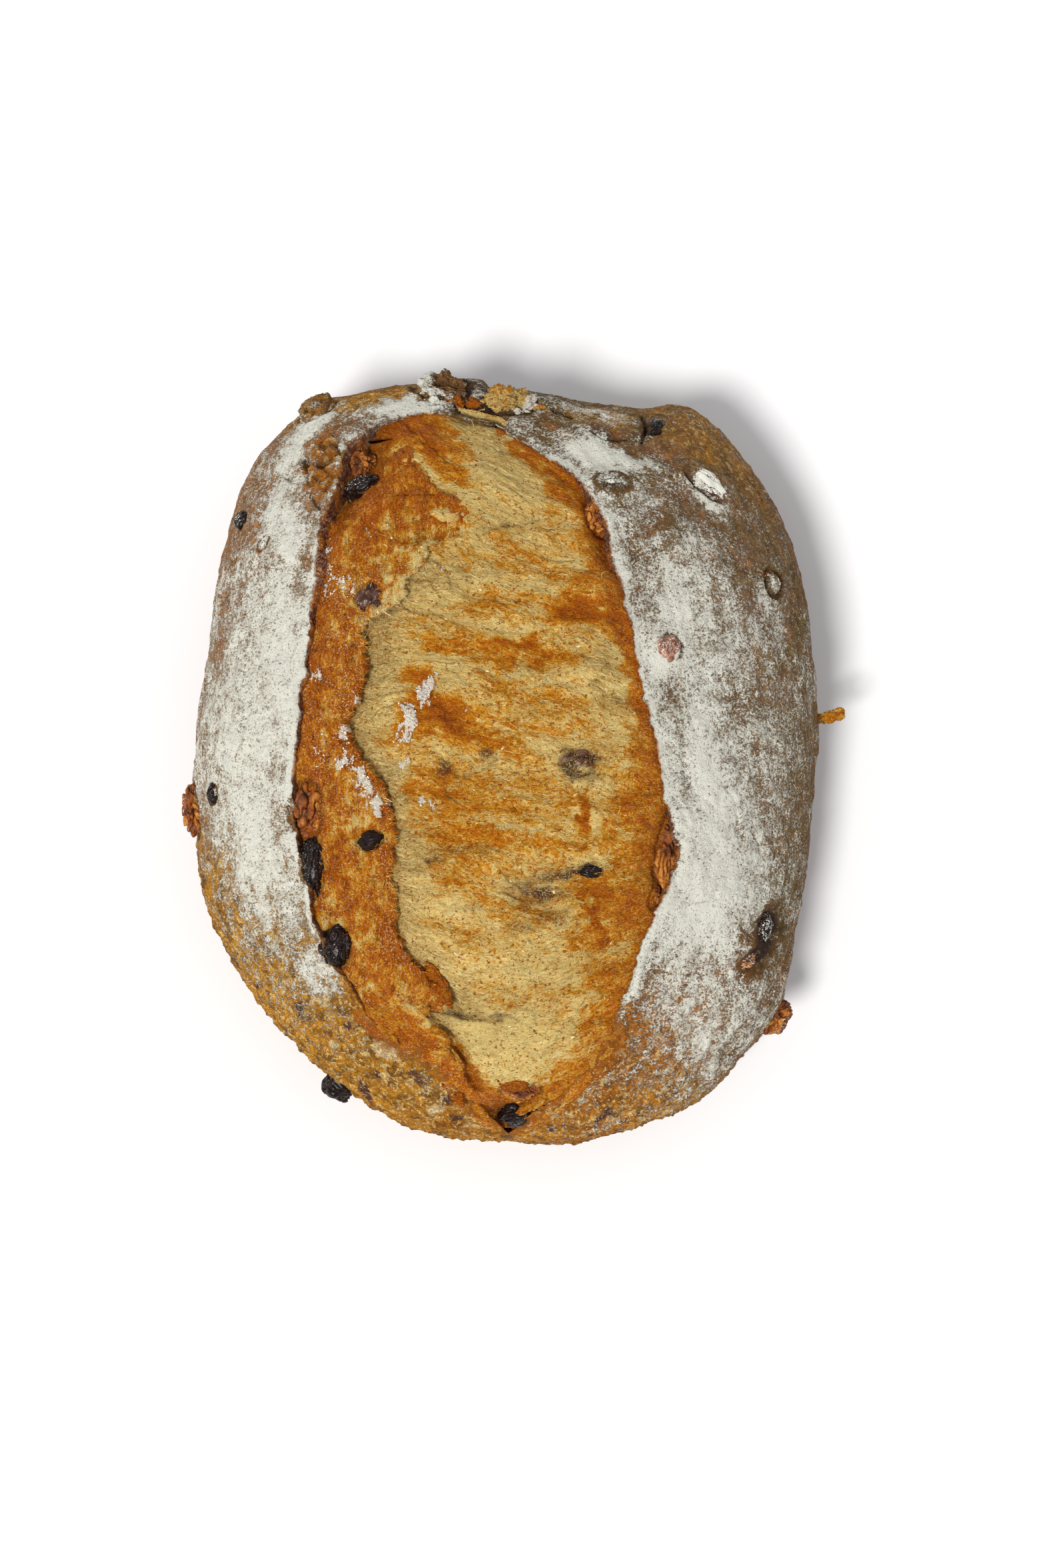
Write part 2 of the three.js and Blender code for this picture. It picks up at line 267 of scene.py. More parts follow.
def curve(points, step):
    """A smooth line through points, as places about step apart."""
    given = np.array(points, float)
    ends = np.vstack([2 * given[0] - given[1], given, 2 * given[-1] - given[-2]])
    fine = []
    for k in range(len(given) - 1):
        for t in np.linspace(0, 1, CURVE_STEPS, endpoint=False):
            fine.append(between(*ends[k : k + 4], t))
    fine.append(given[-1])
    return spread(np.array(fine), step)


def spread(line, step=None, count=None):
    """The same line with its places evenly spaced."""
    lengths = np.r_[0, np.cumsum(np.linalg.norm(np.diff(line, axis=0), axis=1))]
    count = count or max(2, round(lengths[-1] / step) + 1)
    at = np.linspace(0, lengths[-1], count)
    return np.stack([np.interp(at, lengths, line[:, k]) for k in range(line.shape[1])], -1)


def distance(line, x, y):
    """Distance in plan from places to a line, and the share of the line's length at the nearest point."""
    best = np.full(np.shape(x), np.inf)
    share = np.zeros(np.shape(x))
    count = len(line) - 1
    for k in range(count):
        ax, ay = line[k]
        ex, ey = line[k + 1] - line[k]
        t = np.clip(((x - ax) * ex + (y - ay) * ey) / (ex * ex + ey * ey), 0, 1)
        away = (x - ax - t * ex) ** 2 + (y - ay - t * ey) ** 2
        nearer = away < best
        best = np.where(nearer, away, best)
        share = np.where(nearer, (k + t) / count, share)
    return np.sqrt(best), share


def inside(loop, x, y):
    """Which places lie inside a closed line in plan."""
    odd = np.zeros(np.shape(x), bool)
    for (ax, ay), (bx, by) in zip(loop, np.roll(loop, -1, axis=0)):
        if ay != by:
            crosses = (ay > y) != (by > y)
            odd ^= crosses & (x < ax + (y - ay) * (bx - ax) / (by - ay))
    return odd


rim_left = curve(RIM_LEFT, 2.0)
rim_right = curve(RIM_RIGHT, 2.0)
torn_edge = curve(TORN_EDGE, 1.0)


def torn_place(y):
    """Where across the loaf the shelf's torn edge lies, by place along Y."""
    line = torn_edge[::-1]
    return np.interp(y, line[:, 1], line[:, 0])


def spots(x, y, patches):
    """Several soft oval patches added up: (x, y, half length, half width, degrees, strength)."""
    total = np.zeros(np.shape(x))
    for px, py, length, width, turn, strength in patches:
        angle = math.radians(turn)
        dx, dy = x - px, y - py
        along = (dx * math.cos(angle) + dy * math.sin(angle)) / length
        across = (dy * math.cos(angle) - dx * math.sin(angle)) / width
        total = total + strength * np.exp(-((along**2 + across**2) ** 1.5))
    return total


def warped(x, y, size, reach):
    """Places moved about by up to reach, so that patches drawn there have ragged edges."""
    across = reach * relief_a.layers(x / size, y / size, 11.3, gain=0.6)
    along = reach * relief_b.layers(x / size, y / size, 4.7, gain=0.6)
    return x + across, y + along


# Hollows at the mouth's edge, where the crumb has pulled away from the crust: depths in millimetres
HOLLOWS = [
    (-42.5, 84, 14, 8, 66, 7.0), (-48, 69, 9, 4, 75, 2.6), (28.5, 62, 15, 4, -78, 3.4),
    (46, -36, 15, 4, 86, 3.0), (-57, -24, 13, 3.5, 88, 1.6), (-49, -60, 8, 4, 60, 1.6),
    (3, -106, 8, 5.5, 0, 4.5), (8, 94, 14, 4, -12, 1.2), (-7, 97.5, 7, 3, -8, 2.6),
]


# ---- the fruit and nuts, from the frame
# How the crust meets each one: (bulge over it, groove round it, degrees the groove faces or None all round)
SKIN_AROUND = {
    "raisin_shoulder_right": (1.3, 1.9, 228), "raisin_bump_right": (2.2, 0.0, None),
    "raisin_crown_right": (1.2, 1.6, 250), "fruit_lip_right": (1.0, 0.7, 40),
    "walnut_oval_right": (1.2, 1.9, None), "raisin_flank_right": (-1.3, 0.0, None),
    "walnut_flank_right_low": (-1.3, 0.0, None), "walnut_flank_right": (0.6, 1.2, 150),
    "raisin_side_left": (0.5, 0.5, None), "raisin_side_left_inner": (0.7, 0.3, None),
    "raisin_flank_left": (0.7, 0.6, None), "walnut_flank_left": (0.6, 0.8, None),
    "walnut_shoulder_left": (1.4, 0.4, None), "walnut_crown": (1.0, 0.8, None),
    "raisin_edge_left": (0.4, 0.7, None),
}


HOLLOW_SHARE = 0.75  # share of a hollow's depth by which a lump in it is lower


class Lump:
    """Where a fruit or a nut of the frame sits: its middle, axes and half-sizes, in millimetres."""

    def __init__(self, name):
        mesh = frame["nodes"][name].data
        corners = np.zeros(len(mesh.vertices) * 3)
        mesh.vertices.foreach_get("co", corners)
        corners = np.unique(np.round(corners.reshape(-1, 3) / MM, 3), axis=0)
        self.name = name
        self.middle = (corners.min(0) + corners.max(0)) / 2
        axes = np.linalg.svd(corners - corners.mean(0), full_matrices=False)[2]
        outward = self.middle - np.array([0, 0, WIDEST_LEVEL])
        upright = np.argmax(np.abs(axes @ (outward / np.linalg.norm(outward))))
        up = axes[upright] * np.sign(axes[upright] @ outward)
        along = axes[0] if upright != 0 else axes[1]
        self.axes = np.array([along, np.cross(up, along), up])
        reach = (corners - self.middle) @ self.axes.T
        self.half = (reach.max(0) - reach.min(0)) / 2
        self.middle = self.middle - np.array([0, 0, HOLLOW_SHARE * spots(*self.middle[:2], HOLLOWS)])

    def nearness(self, x, y, z):
        """Distance of places from the lump's middle, counted in its own half-sizes."""
        away = np.stack([x, y, z], -1) - self.middle
        return np.linalg.norm((away @ self.axes.T) / self.half, axis=-1)


# How far the crumb lies below the crust's lip, by place along Y
LEFT_DROP = ([-80, -60, -40, -10, 25, 42, 90], [0.4, 1.6, 2.4, 1.5, 1.8, 3.4, 3.6])
RIGHT_DROP = ([-70, -52, -40, -20, 0, 38, 50, 72, 86], [0.2, 0.6, 2.4, 1.2, 0.7, 0.9, 2.6, 2.6, 0.6])
DROP_CHANGE = 18  # how far right of the torn edge the right lip's drop takes over


def lip_drop(x, y):
    return np.where(x < torn_place(y) + DROP_CHANGE, np.interp(y, *LEFT_DROP), np.interp(y, *RIGHT_DROP))


lumps = {name: Lump(name) for name in sorted(frame["nodes"]) if name != "loaf"}


LUMP_REACH = 24  # how far from its middle a lump can shape the crust
BULGE_REACH = 1.55  # in the lump's own half-sizes, as the next two are
GROOVE_PLACE = 1.1
GROOVE_WIDTH = 0.17


def around_lumps(x, y, z):
    """A bulge over the fruit and nuts, the groove round them, and how near a place is to their edge."""
    bulge, groove, edge = (np.zeros(np.shape(x)) for _ in range(3))
    for lump in lumps.values():
        near = np.maximum(np.abs(x - lump.middle[0]), np.abs(y - lump.middle[1])) < LUMP_REACH
        if not near.any():
            continue
        px, py = x[near], y[near]
        away = lump.nearness(px, py, z[near])
        over, depth, facing = SKIN_AROUND.get(lump.name, (0.4, 0.7, None))
        bulge[near] += over * np.exp(-((away / BULGE_REACH) ** 4))
        line = bell(away - GROOVE_PLACE, GROOVE_WIDTH)
        if facing is not None:
            turn = np.arctan2(py - lump.middle[1], px - lump.middle[0]) - math.radians(facing)
            line *= rise(np.cos(turn), -0.2, 0.6)
        groove[near] = np.maximum(groove[near], depth * line)
        edge[near] = np.maximum(edge[near], line)
    return bulge, groove, edge


# ---- making meshes
UV_EDGE = 0.002  # blank border of a piece's map


def added(name, data):
    """A new object of the scene that holds a mesh, a light or a camera."""
    item = bpy.data.objects.new(name, data)
    bpy.context.scene.collection.objects.link(item)
    return item


def make_piece(
    name, points, faces, finish, facts=None, flow=None, uv=None, normals=None, stands_for=()
):
    """A finished piece from places in millimetres. facts are numbers or colours for each place."""
    mesh = bpy.data.meshes.new(name)
    mesh.from_pydata((np.asarray(points) * MM).tolist(), [], faces)
    for key, values in (facts or {}).items():
        values = np.asarray(values, np.float32)
        if values.ndim > 1:
            layer = mesh.attributes.new(key, "FLOAT_COLOR", "POINT")
            layer.data.foreach_set("color", np.c_[values, np.ones(len(values), np.float32)].ravel())
        else:
            layer = mesh.attributes.new(key, "FLOAT", "POINT")
            layer.data.foreach_set("value", values.ravel())
    if flow is not None:
        layer = mesh.attributes.new("flow", "FLOAT_VECTOR", "POINT")
        layer.data.foreach_set("vector", np.asarray(flow, np.float32).ravel())
    mesh.update()
    if uv is not None:
        corners = np.zeros(len(mesh.loops), np.int32)
        mesh.loops.foreach_get("vertex_index", corners)
        layer = mesh.uv_layers.new(name="OFBake")
        layer.data.foreach_set("uv", np.asarray(uv, np.float32)[corners].ravel())
    mesh.shade_smooth()
    if normals is not None:
        mesh.normals_split_custom_set_from_vertices(normals.tolist())
    mesh.materials.append(finish)
    piece = added(name, mesh)
    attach(piece, "root")
    if stands_for:
        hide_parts(*stands_for)


def quads(rows, columns, wrap=False):
    """Faces of a grid of places numbered row by row."""
    across = columns if wrap else columns - 1
    i, j = np.meshgrid(np.arange(rows - 1) * columns, np.arange(across), indexing="ij")
    k = (j + 1) % columns
    return np.stack([i + j, i + k, i + columns + k, i + columns + j], -1).reshape(-1, 4)


def grid_normals(points):
    """Unit normals of a grid of places, along rows crossed with along columns."""
    normal = np.cross(np.gradient(points, axis=1), np.gradient(points, axis=0))
    return normal / np.maximum(np.linalg.norm(normal, axis=-1, keepdims=True), 1e-9)


def signed_volume(points, faces):
    a, b, c, d = (points[faces[:, k]] for k in range(4))
    return (np.einsum("ij,ij->i", a, np.cross(b, c)) + np.einsum("ij,ij->i", a, np.cross(c, d))).sum()


def tube_faces(points):
    """Faces that close a grid of places, taken as rings one after another, with a fan at each end."""
    rows, columns = points.shape[:2]
    faces = quads(rows, columns, wrap=True)
    fans = []
    for row, forward in ((0, True), (rows - 1, False)):
        ring = (row * columns + np.arange(columns)).tolist()
        fan = [[ring[0], ring[k], ring[k + 1]] for k in range(1, columns - 1)]
        fans += fan if forward else [face[::-1] for face in fan]
    every = faces.tolist()
    if signed_volume(points.reshape(-1, 3), faces) < 0:
        return [face[::-1] for face in every + fans]
    return every + fans


def flat_uv(rows, columns):
    u, v = np.meshgrid(np.linspace(UV_EDGE, 1 - UV_EDGE, columns), np.linspace(UV_EDGE, 1 - UV_EDGE, rows))
    return np.stack([u, v], -1).reshape(-1, 2)


# ---- finishes
class Finish:
    """A material built node by node. Each method returns its result's socket; sizes are millimetres."""

    def __init__(self, name):
        self.material = bpy.data.materials.new(name)
        self.material.use_nodes = True
        self.tree = self.material.node_tree
        self.tree.nodes.clear()
        self.place = self.node("ShaderNodeVectorMath", "Vector", operation="SCALE", Scale=1 / MM)
        self.tree.links.new(self.node("ShaderNodeTexCoord", "Object"), self.place.node.inputs[0])

    def node(self, kind, output, operation=None, settings=None, **inputs):
        node = self.tree.nodes.new(kind)
        if operation:
            node.operation = operation
        for key, value in (settings or {}).items():
            setattr(node, key, value)
        for key, value in inputs.items():
            self.feed(node.inputs[key.replace("_", " ")], value)
        return node.outputs[output]

    def feed(self, socket, value):
        if isinstance(value, bpy.types.NodeSocket):
            self.tree.links.new(value, socket)
        else:
            socket.default_value = value

    def fact(self, name, output="Fac"):
        return self.node("ShaderNodeAttribute", output, settings={"attribute_name": name})

    def stretched(self, vector, along, across, depth=1.0):
        """Coordinates in which one unit is along, across and depth millimetres."""
        node = self.node("ShaderNodeVectorMath", "Vector", operation="MULTIPLY").node
        self.feed(node.inputs[0], vector)
        self.feed(node.inputs[1], (1 / along, 1 / across, 1 / depth))
        return node.outputs["Vector"]

    def noise(self, size, vector=None, detail=2.0, roughness=0.5, distortion=0.0):
        return self.node(
            "ShaderNodeTexNoise", "Fac", Vector=vector or self.place, Scale=1 / size, Detail=detail,
            Roughness=roughness, Distortion=distortion,
        )

    def math(self, operation, a, b=0.0):
        node = self.node("ShaderNodeMath", "Value", operation=operation).node
        self.feed(node.inputs[0], a)
        self.feed(node.inputs[1], b)
        return node.outputs["Value"]

    def total(self, *terms):
        """The sum of numbers, each given alone or as (number, share)."""
        result = None
        for term in terms:
            value = self.math("MULTIPLY", *term) if isinstance(term, tuple) else term
            result = value if result is None else self.math("ADD", result, value)
        return result

    def window(self, value, low, high, start=0.0, end=1.0):
        node = self.node("ShaderNodeMapRange", "Result", settings={"interpolation_type": "SMOOTHSTEP"}).node
        for socket, number in zip(node.inputs[:5], (value, low, high, start, end)):
            self.feed(socket, number)
        return node.outputs["Result"]

    def blend(self, share, a, b):
        node = self.node("ShaderNodeMix", 2, settings={"data_type": "RGBA"}).node
        self.feed(node.inputs[0], share)
        for socket, colour in ((node.inputs[6], a), (node.inputs[7], b)):
            self.feed(socket, linear(colour) if isinstance(colour, tuple) else colour)
        return node.outputs[2]

    def over(self, under, colour, value, low, high, most=1.0):
        """One colour laid over another where a value is high, by at most a share."""
        return self.blend(self.window(value, low, high, 0, most), under, colour)

    def bump(self, height, depth):
        """A bumped normal: depth is the height's full range in millimetres."""
        return self.node("ShaderNodeBump", "Normal", Height=height, Distance=depth * MM, Strength=1.0)

    def done(self, colour, normal, roughness, specular):
        shader = self.node(
            "ShaderNodeBsdfPrincipled", "BSDF", Base_Color=colour, Normal=normal, Roughness=roughness
        )
        shader.node.inputs["Specular IOR Level"].default_value = specular
        output = self.tree.nodes.new("ShaderNodeOutputMaterial")
        self.tree.links.new(shader, output.inputs["Surface"])
        return self.material


def crust_finish():
    """Baked crust in its painted colour, under a thin haze and a coat of flour that breaks up into specks."""
    f = Finish("floured_crust")
    flour, wall, burn, husk = (f.fact(key) for key in ("flour", "wall", "burn", "husk"))
    paint = f.fact("paint", "Color")
    flow = f.fact("flow", "Vector")
    cloud = f.noise(3.6, detail=5, roughness=0.66)
    mottle = f.noise(1.4, detail=4, roughness=0.68)
    fine = f.noise(0.62, detail=3, roughness=0.78)
    rub = f.noise(1, f.stretched(flow, 8, 1.0), detail=4, roughness=0.65)
    pepper = f.noise(0.95, detail=4, roughness=0.8, distortion=0.4)
    blotch = f.noise(2.6, detail=4, roughness=0.62, distortion=0.8)
    flakes = f.noise(1.7, detail=3, roughness=0.6, distortion=0.6)
    crust = f.over(paint, f.blend(0.72, paint, BLOTCH), blotch, 0.54, 0.59, 0.75)
    crust = f.over(crust, f.blend(0.72, paint, MOTTLE), mottle, 0.48, 0.56, 0.55)
    husks = f.math("MULTIPLY", f.window(flakes, 0.55, 0.6), husk)
    crust = f.blend(husks, crust, f.blend(0.75, paint, HUSK))
    crust = f.over(crust, GRIT, fine, 0.54, 0.62, 0.6)
    crust = f.over(crust, HAZE, flour, 0.45, 0.95, 0.5)
    # Partly scorched crust, partly painted shade: dark in the grooves round the lumps, in cracks and along
    # the seam
    crust = f.blend(burn, crust, SCORCH_AND_SHADE_BROWN)
    signal = f.total(
        (fine, 0.8), (mottle, 0.42), (rub, 0.12), (blotch, -0.1), (cloud, 0.16), (flour, 0.3), -0.85
    )
    cover = f.window(signal, -0.035, 0.045)
    coat = f.over(COOL_FLOUR, FLOUR, f.total((rub, 0.4), (cloud, 0.6)), 0.42, 0.58)
    coat = f.over(coat, FLOUR, flour, 0.5, 1.1, 0.85)
    thick = f.window(flour, 0.1, 1.0, 0.85, 0.97)
    colour = f.blend(f.math("MULTIPLY", cover, thick), crust, coat)
    colour = f.over(colour, f.blend(0.5, paint, PEPPER), f.total(pepper, (flour, -0.09)), 0.485, 0.53, 0.85)
    torn = f.over(LIP_BROWN, LIP_MAUVE, mottle, 0.4, 0.6)
    torn = f.over(torn, LIP_AMBER, f.noise(5, detail=3), 0.46, 0.56)
    torn = f.over(torn, SALT, fine, 0.56, 0.64, 0.5)
    colour = f.blend(wall, colour, torn)
    normal = f.bump(f.total((cover, 0.35), fine, mottle), 0.65)
    return f.done(colour, normal, 0.85, specular=0.08)


def crumb_finish():
    """Torn crumb: cream and straw strands, toasted where they stand up, with bran and dusted flour, painted
    highlights on the strands and painted shade in the low places.
    """
    f = Finish("torn_crumb")
    toast, pale, flour, salt, low, burn, bruise = (
        f.fact(key) for key in ("toast", "pale", "flour", "salt", "low", "burn", "bruise")
    )
    flow = f.fact("flow", "Vector")
    strand = f.noise(1, f.stretched(flow, 3.4, 0.6, 1.4), detail=4, roughness=0.66, distortion=1.1)
    patch = f.noise(1, f.stretched(flow, 6, 3.2, 5), detail=5, roughness=0.7, distortion=1.8)
    curl = f.noise(1.7, detail=3, roughness=0.6, distortion=1.5)
    grain = f.noise(0.5, detail=3, roughness=0.75)
    flake = f.noise(1, f.stretched(flow, 1.6, 0.6, 0.8), detail=3, roughness=0.72, distortion=0.6)
    push = f.total((patch, 2.3), (strand, 1.2), (grain, 1.5), (curl, 1.5), -3.25)
    heat = f.math("ADD", toast, f.math("MULTIPLY", push, f.window(toast, -0.1, 0.5, 0.5, 1.0)))
    # Painted shade between the fibres of the pale crumb
    fuzz = f.over(SHADOWED_PALE_CRUMB, PALE_CRUMB, f.total((grain, 0.5), (strand, 0.5)), 0.4, 0.56)
    colour = f.blend(pale, f.over(CREAM, STRAW, heat, -0.15, 0.3), fuzz)
    colour = f.over(colour, GOLD, heat, 0.1, 0.6)
    colour = f.over(colour, TOAST, heat, 0.46, 1.05)
    colour = f.over(colour, DEEP_TOAST, heat, 0.98, 1.4)
    # Painted highlight on the strands that stand up: pale glints, golden where toasted
    glint = f.over(STRAND_HIGHLIGHT, GOLDEN_HIGHLIGHT, heat, 0.1, 0.6)
    colour = f.over(colour, glint, strand, 0.53, 0.6, 0.85)
    # Painted shade in the furrows between the strands
    colour = f.blend(f.window(strand, 0.34, 0.46, 0.5, 0), colour, STRAND_FURROW_SHADE)
    colour = f.over(colour, TOASTED_FLAKE, f.total(flake, (heat, 0.1)), 0.575, 0.62, 0.8)
    colour = f.over(colour, BRAN, f.noise(0.95, detail=2, distortion=0.7), 0.61, 0.66, 0.85)
    # Painted shade: the low places are darkened towards SHADOWED
    colour = f.blend(f.math("MULTIPLY", low, 0.42), colour, SHADOWED)
    colour = f.blend(f.math("MULTIPLY", bruise, f.window(grain, 0.36, 0.5)), colour, BRUISE)
    dust = f.window(f.total(f.noise(0.8, detail=5, roughness=0.75), (flour, 0.38)), 0.72, 0.79)
    specks = f.math("MULTIPLY", salt, f.window(f.noise(0.55, detail=3, roughness=0.7), 0.57, 0.62))
    # Of these coats the charred one is partly scorch, partly painted shade: rings round the lumps and the
    # line under the crust's lip
    for share, most, coat in ((specks, 0.75, SALT), (dust, 0.9, CLUMP), (burn, 0.75, CHARRED_AND_SHADE)):
        colour = f.blend(f.math("MULTIPLY", share, most), colour, coat)
    relief = f.total(strand, (grain, 0.8), (curl, 1.0), (flake, 0.5), (patch, 1.4), (dust, 0.4))
    return f.done(colour, f.bump(relief, 0.85), 0.6, specular=0.1)


def raisin_finish():
    """Wrinkled black fruit with a soft gloss and a bloom on what stands up. Blush turns it red-brown."""
    f = Finish("raisin")
    flour, blush = f.fact("flour"), f.fact("blush")
    grain = f.noise(0.5, detail=4, roughness=0.75)
    hairs = f.noise(1, f.stretched(f.place, 0.8, 0.22, 0.5), detail=3, roughness=0.7, distortion=1.0)
    dark = f.over(RAISIN_BLACK, RAISIN_BROWN, f.noise(3), 0.4, 0.6)
    red = f.over(SOFT_FRUIT, SOFT_FRUIT_DARK, f.noise(2.2, detail=3), 0.4, 0.6)
    colour = f.over(f.blend(blush, dark, red), BLOOM, hairs, 0.66, 0.74, 0.07)
    cover = f.window(f.total((grain, 0.75), (flour, 0.34)), 0.49, 0.53)
    colour = f.blend(f.math("MULTIPLY", cover, 0.92), colour, FLOUR)
    return f.done(colour, f.bump(grain, 0.06), f.window(cover, 0, 1, 0.22, 0.9), specular=0.2)


def walnut_finish():
    """Toasted walnut: papery brown skin, amber and paler where it is broken, painted shade in its furrows,
    flour in its folds.
    """
    f = Finish("walnut")
    flour, broken, low = f.fact("flour"), f.fact("broken"), f.fact("low")
    veins = f.noise(1.3, detail=4, roughness=0.6, distortion=1.2)
    skin = f.over(NUT_SKIN, NUT_SKIN_DARK, f.noise(4), 0.35, 0.65)
    skin = f.over(skin, NUT_VEIN, veins, 0.5, 0.62, 0.6)
    colour = f.blend(broken, skin, f.over(NUT_FLESH, NUT_FLESH_DARK, veins, 0.4, 0.6))
    # Painted shade darkens the furrows
    colour = f.blend(f.math("MULTIPLY", low, 0.7), colour, NUT_FURROW_SHADE)
    cover = f.window(f.total((f.noise(0.6, detail=4, roughness=0.75), 0.8), (flour, 0.34)), 0.5, 0.6)
    colour = f.blend(f.math("MULTIPLY", cover, 0.9), colour, FLOUR)
    return f.done(colour, f.bump(veins, 0.4), 0.5, specular=0.25)


crust_look = crust_finish()
crumb_look = crumb_finish()
raisin_look = raisin_finish()
walnut_look = walnut_finish()

# ---- the crust
# Flour left on the crust, by place along Y, on each side of the mouth
FLOUR_LEVEL = {
    "left": (
        [-115, -92, -74, -62, -50, -38, 0, 45, 66, 92, 112],
        [0.1, 0.18, 0.34, 0.5, 0.66, 0.8, 0.84, 0.72, 0.6, 0.5, 0.4],
    ),
    "right": (
        [-115, -100, -84, -68, -55, -38, 0, 36, 60, 82, 100, 112],
        [0.24, 0.46, 0.64, 0.78, 0.88, 0.84, 0.78, 0.74, 0.64, 0.58, 0.5, 0.42],
    ),
}
FLOUR_FADE = {"left": 0.16, "right": 0.42}  # share of the flour that is lost away from the lip
# Soft oval patches on the crust: (x, y, half length, half width, degrees, strength)
FLOUR_PATCHES = [
    (28.8, 85.2, 10, 4.5, -8, 0.9), (43, 84, 6, 3, -20, 0.4), (60, 74.5, 7, 3, -30, 0.8),
    (-64, 30, 22, 5, 90, 0.2), (-66, 74, 16, 5, 75, 0.3), (45, 20, 6, 3, 80, 0.5),
    (54, -52, 10, 7, 60, 0.3), (50, 36, 14, 5, 100, 0.25), (58, -12, 30, 5, 96, 0.22),
    (-72, -28, 20, 6, 96, 0.15), (66, -86, 20, 7, 48, 0.3), (78, 40, 10, 4, 110, 0.3),
    (-62, 60, 9, 3, 85, 0.35), (-58, 99, 10, 4, 40, 0.3), (-53, -67, 9, 4, -55, 0.45),
    (-20, 102.5, 22, 3, 6, 0.7), (-60, 93, 12, 3, 55, 0.5), (34, 99, 12, 3, -20, 0.3),
]
BARE_PATCHES = [
    (-9, 102.5, 11, 4.5, -8, 0.9), (-82, -48, 32, 9, -64, 0.3), (-40, -96, 30, 8, -36, 0.2),
    (-53, 82, 11, 6, 80, 0.7), (-76, 62, 5, 3, 60, 0.25), (44.8, 61.5, 8, 6, 60, 0.55),
    (31.5, 75.5, 6, 5, 0, 0.3), (44, 94, 12, 6, -10, 0.4), (74, -57, 9, 6, 60, 0.5),
    (62, 88, 22, 7, -38, 0.3), (77, -54, 7, 5, 60, 1.1), (72.5, -63, 5, 4, 60, 0.8),
    (20, 97, 14, 5, -8, 0.3), (54, 80, 14, 3, -28, 0.35), (-86, 30, 8, 3, 90, 0.3),
    (-90, -40, 20, 5, 100, 0.3), (37, 90, 5, 3, 0, 0.4), (-30, 110, 22, 4, 12, 0.7),
    (34, -84, 16, 7, 62, 0.3), (28, -106, 16, 5, 28, 0.25),
]
GOLDEN_PATCHES = [
    (-64, -70, 56, 26, -56, 1.3), (4, -112, 60, 20, 4, 1.3), (30, -104, 18, 8, 34, 1.2),
    (28, 100, 11, 4, -10, 0.9), (60, 96, 30, 12, -40, 0.5), (-38, 106.5, 26, 5, 12, 1.1),
]
CRUST_BULGES = [
    (46, 61, 9, 8, 80, 1.6), (74, -58, 13, 9, 60, 1.4), (24, 92, 7, 5, 0, 1.4), (52, 106, 12, 6, -38, 2.6),
    (32, 111, 12, 5, -10, 1.6), (-12, 113, 9, 6, 0, 2.2), (-52, 88, 9, 7, 60, 1.5),
    (-63, 92, 12, 6, 50, 0.8), (40, 89, 16, 4, -12, -1.3), (60, 64, 20, 7, -40, -0.9),
    (-78, 72, 18, 10, 60, -1.2), (82, -58, 14, 8, 70, -0.8), (64, 40, 26, 9, 100, 0.8),
    (60, -30, 24, 8, 94, 0.7), (70, 8, 30, 5, 98, -0.5), (-76, 0, 40, 6, 92, 0.6),
    (-58, -78, 24, 9, -50, 0.8), (-66, 50, 14, 5, 84, 0.7), (56, -84, 20, 8, 50, 0.8),
    (-34, 104, 14, 4, 12, 0.7),
]
# Places where the crust is torn and crumbly
TORN_CRUST = [
    (-53, 83, 11, 6, 78, 1.0), (-16, 104, 12, 4, -10, 0.8), (12, 103, 10, 3, -10, 0.6),
    (30, -104, 22, 7, 24, 0.4),
]
# Small cracks in the crust: places along each, its depth and its half-width
CRUST_CRACKS = [
    ([(-60.5, 91), (-58, 92.6), (-56, 94)], 2.0, 0.7), ([(-59.6, 86), (-58.2, 83.4)], 2.8, 1.2),
    ([(-54.4, 83), (-51.4, 84.2)], 3.0, 1.2), ([(-64.6, 80.2), (-63, 78.4)], 1.6, 0.6),
    ([(-57, 73), (-55.6, 70.2), (-54.4, 68.6)], 1.2, 0.35), ([(-58.6, 82), (-57.8, 77)], 0.9, 0.3),
    ([(36, 92.5), (30, 91.4), (26, 92.4)], 1.1, 0.4), ([(41, 102), (42, 96), (40.6, 92)], 1.6, 0.5),
    ([(-12.6, 104), (-9, 100.5), (-5, 98), (-2, 96.4)], 4.2, 2.0),
    ([(9, 103), (16, 101.5), (20, 99.5)], 1.6, 0.8),
]
CRACK_REACH = 14  # distance from a crack's middle within which it is worked out
CRACK_LOWEST = 30  # cracks are above this height
# From inside the loaf up the torn wall to the lip's top: (distance in from the rim, depth below the dome)
LIP_LOOP = [
    (4.6, 12.0), (3.0, 7.5), (2.3, 5.6), (1.9, 4.4), (1.65, 3.5), (1.45, 2.8), (1.28, 2.2), (1.1, 1.6),
    (0.92, 1.0), (0.74, 0.4), (0.52, -0.1), (0.28, -0.5), (0.08, -0.8),
]
WIDE_WALL = [
    (-52.5, 54, 14, 6, 90, 1.2), (-47, 78, 12, 6, 75, 0.5), (29, 60, 14, 6, -75, 0.8),
    (48, -36, 12, 6, 90, 0.8),
]
TOP_COLUMNS = 150
BELLY_COLUMNS = 40
FOOT_ANGLE = math.asin((WIDEST_LEVEL / BELLY_DEPTH) ** (BELLY_POWER / 2))  # where the belly meets the table
CORE = np.array([0, 0, 22.0])  # walls that close the skin run towards this place in the loaf
CORE_SHARE = 0.8  # and end at this share of the way out from it


def outline_line(start, end):
    """The outline in plan from one angle round to another, anticlockwise, in degrees."""
    angle = np.radians(np.linspace(start, end, 1200))
    reach = half_width(angle)
    return np.stack([reach * np.cos(angle), reach * np.sin(angle)], -1)


def lip_strength(x, y):
    """1 where the crust ends in a sharp raised lip, 0 where it runs smoothly into the crumb."""
    near_end = np.where(x < 0, rise(y, -84, -64), rise(y, -96, -66))
    return near_end * (1 - 0.75 * rise(y, 88, 97))


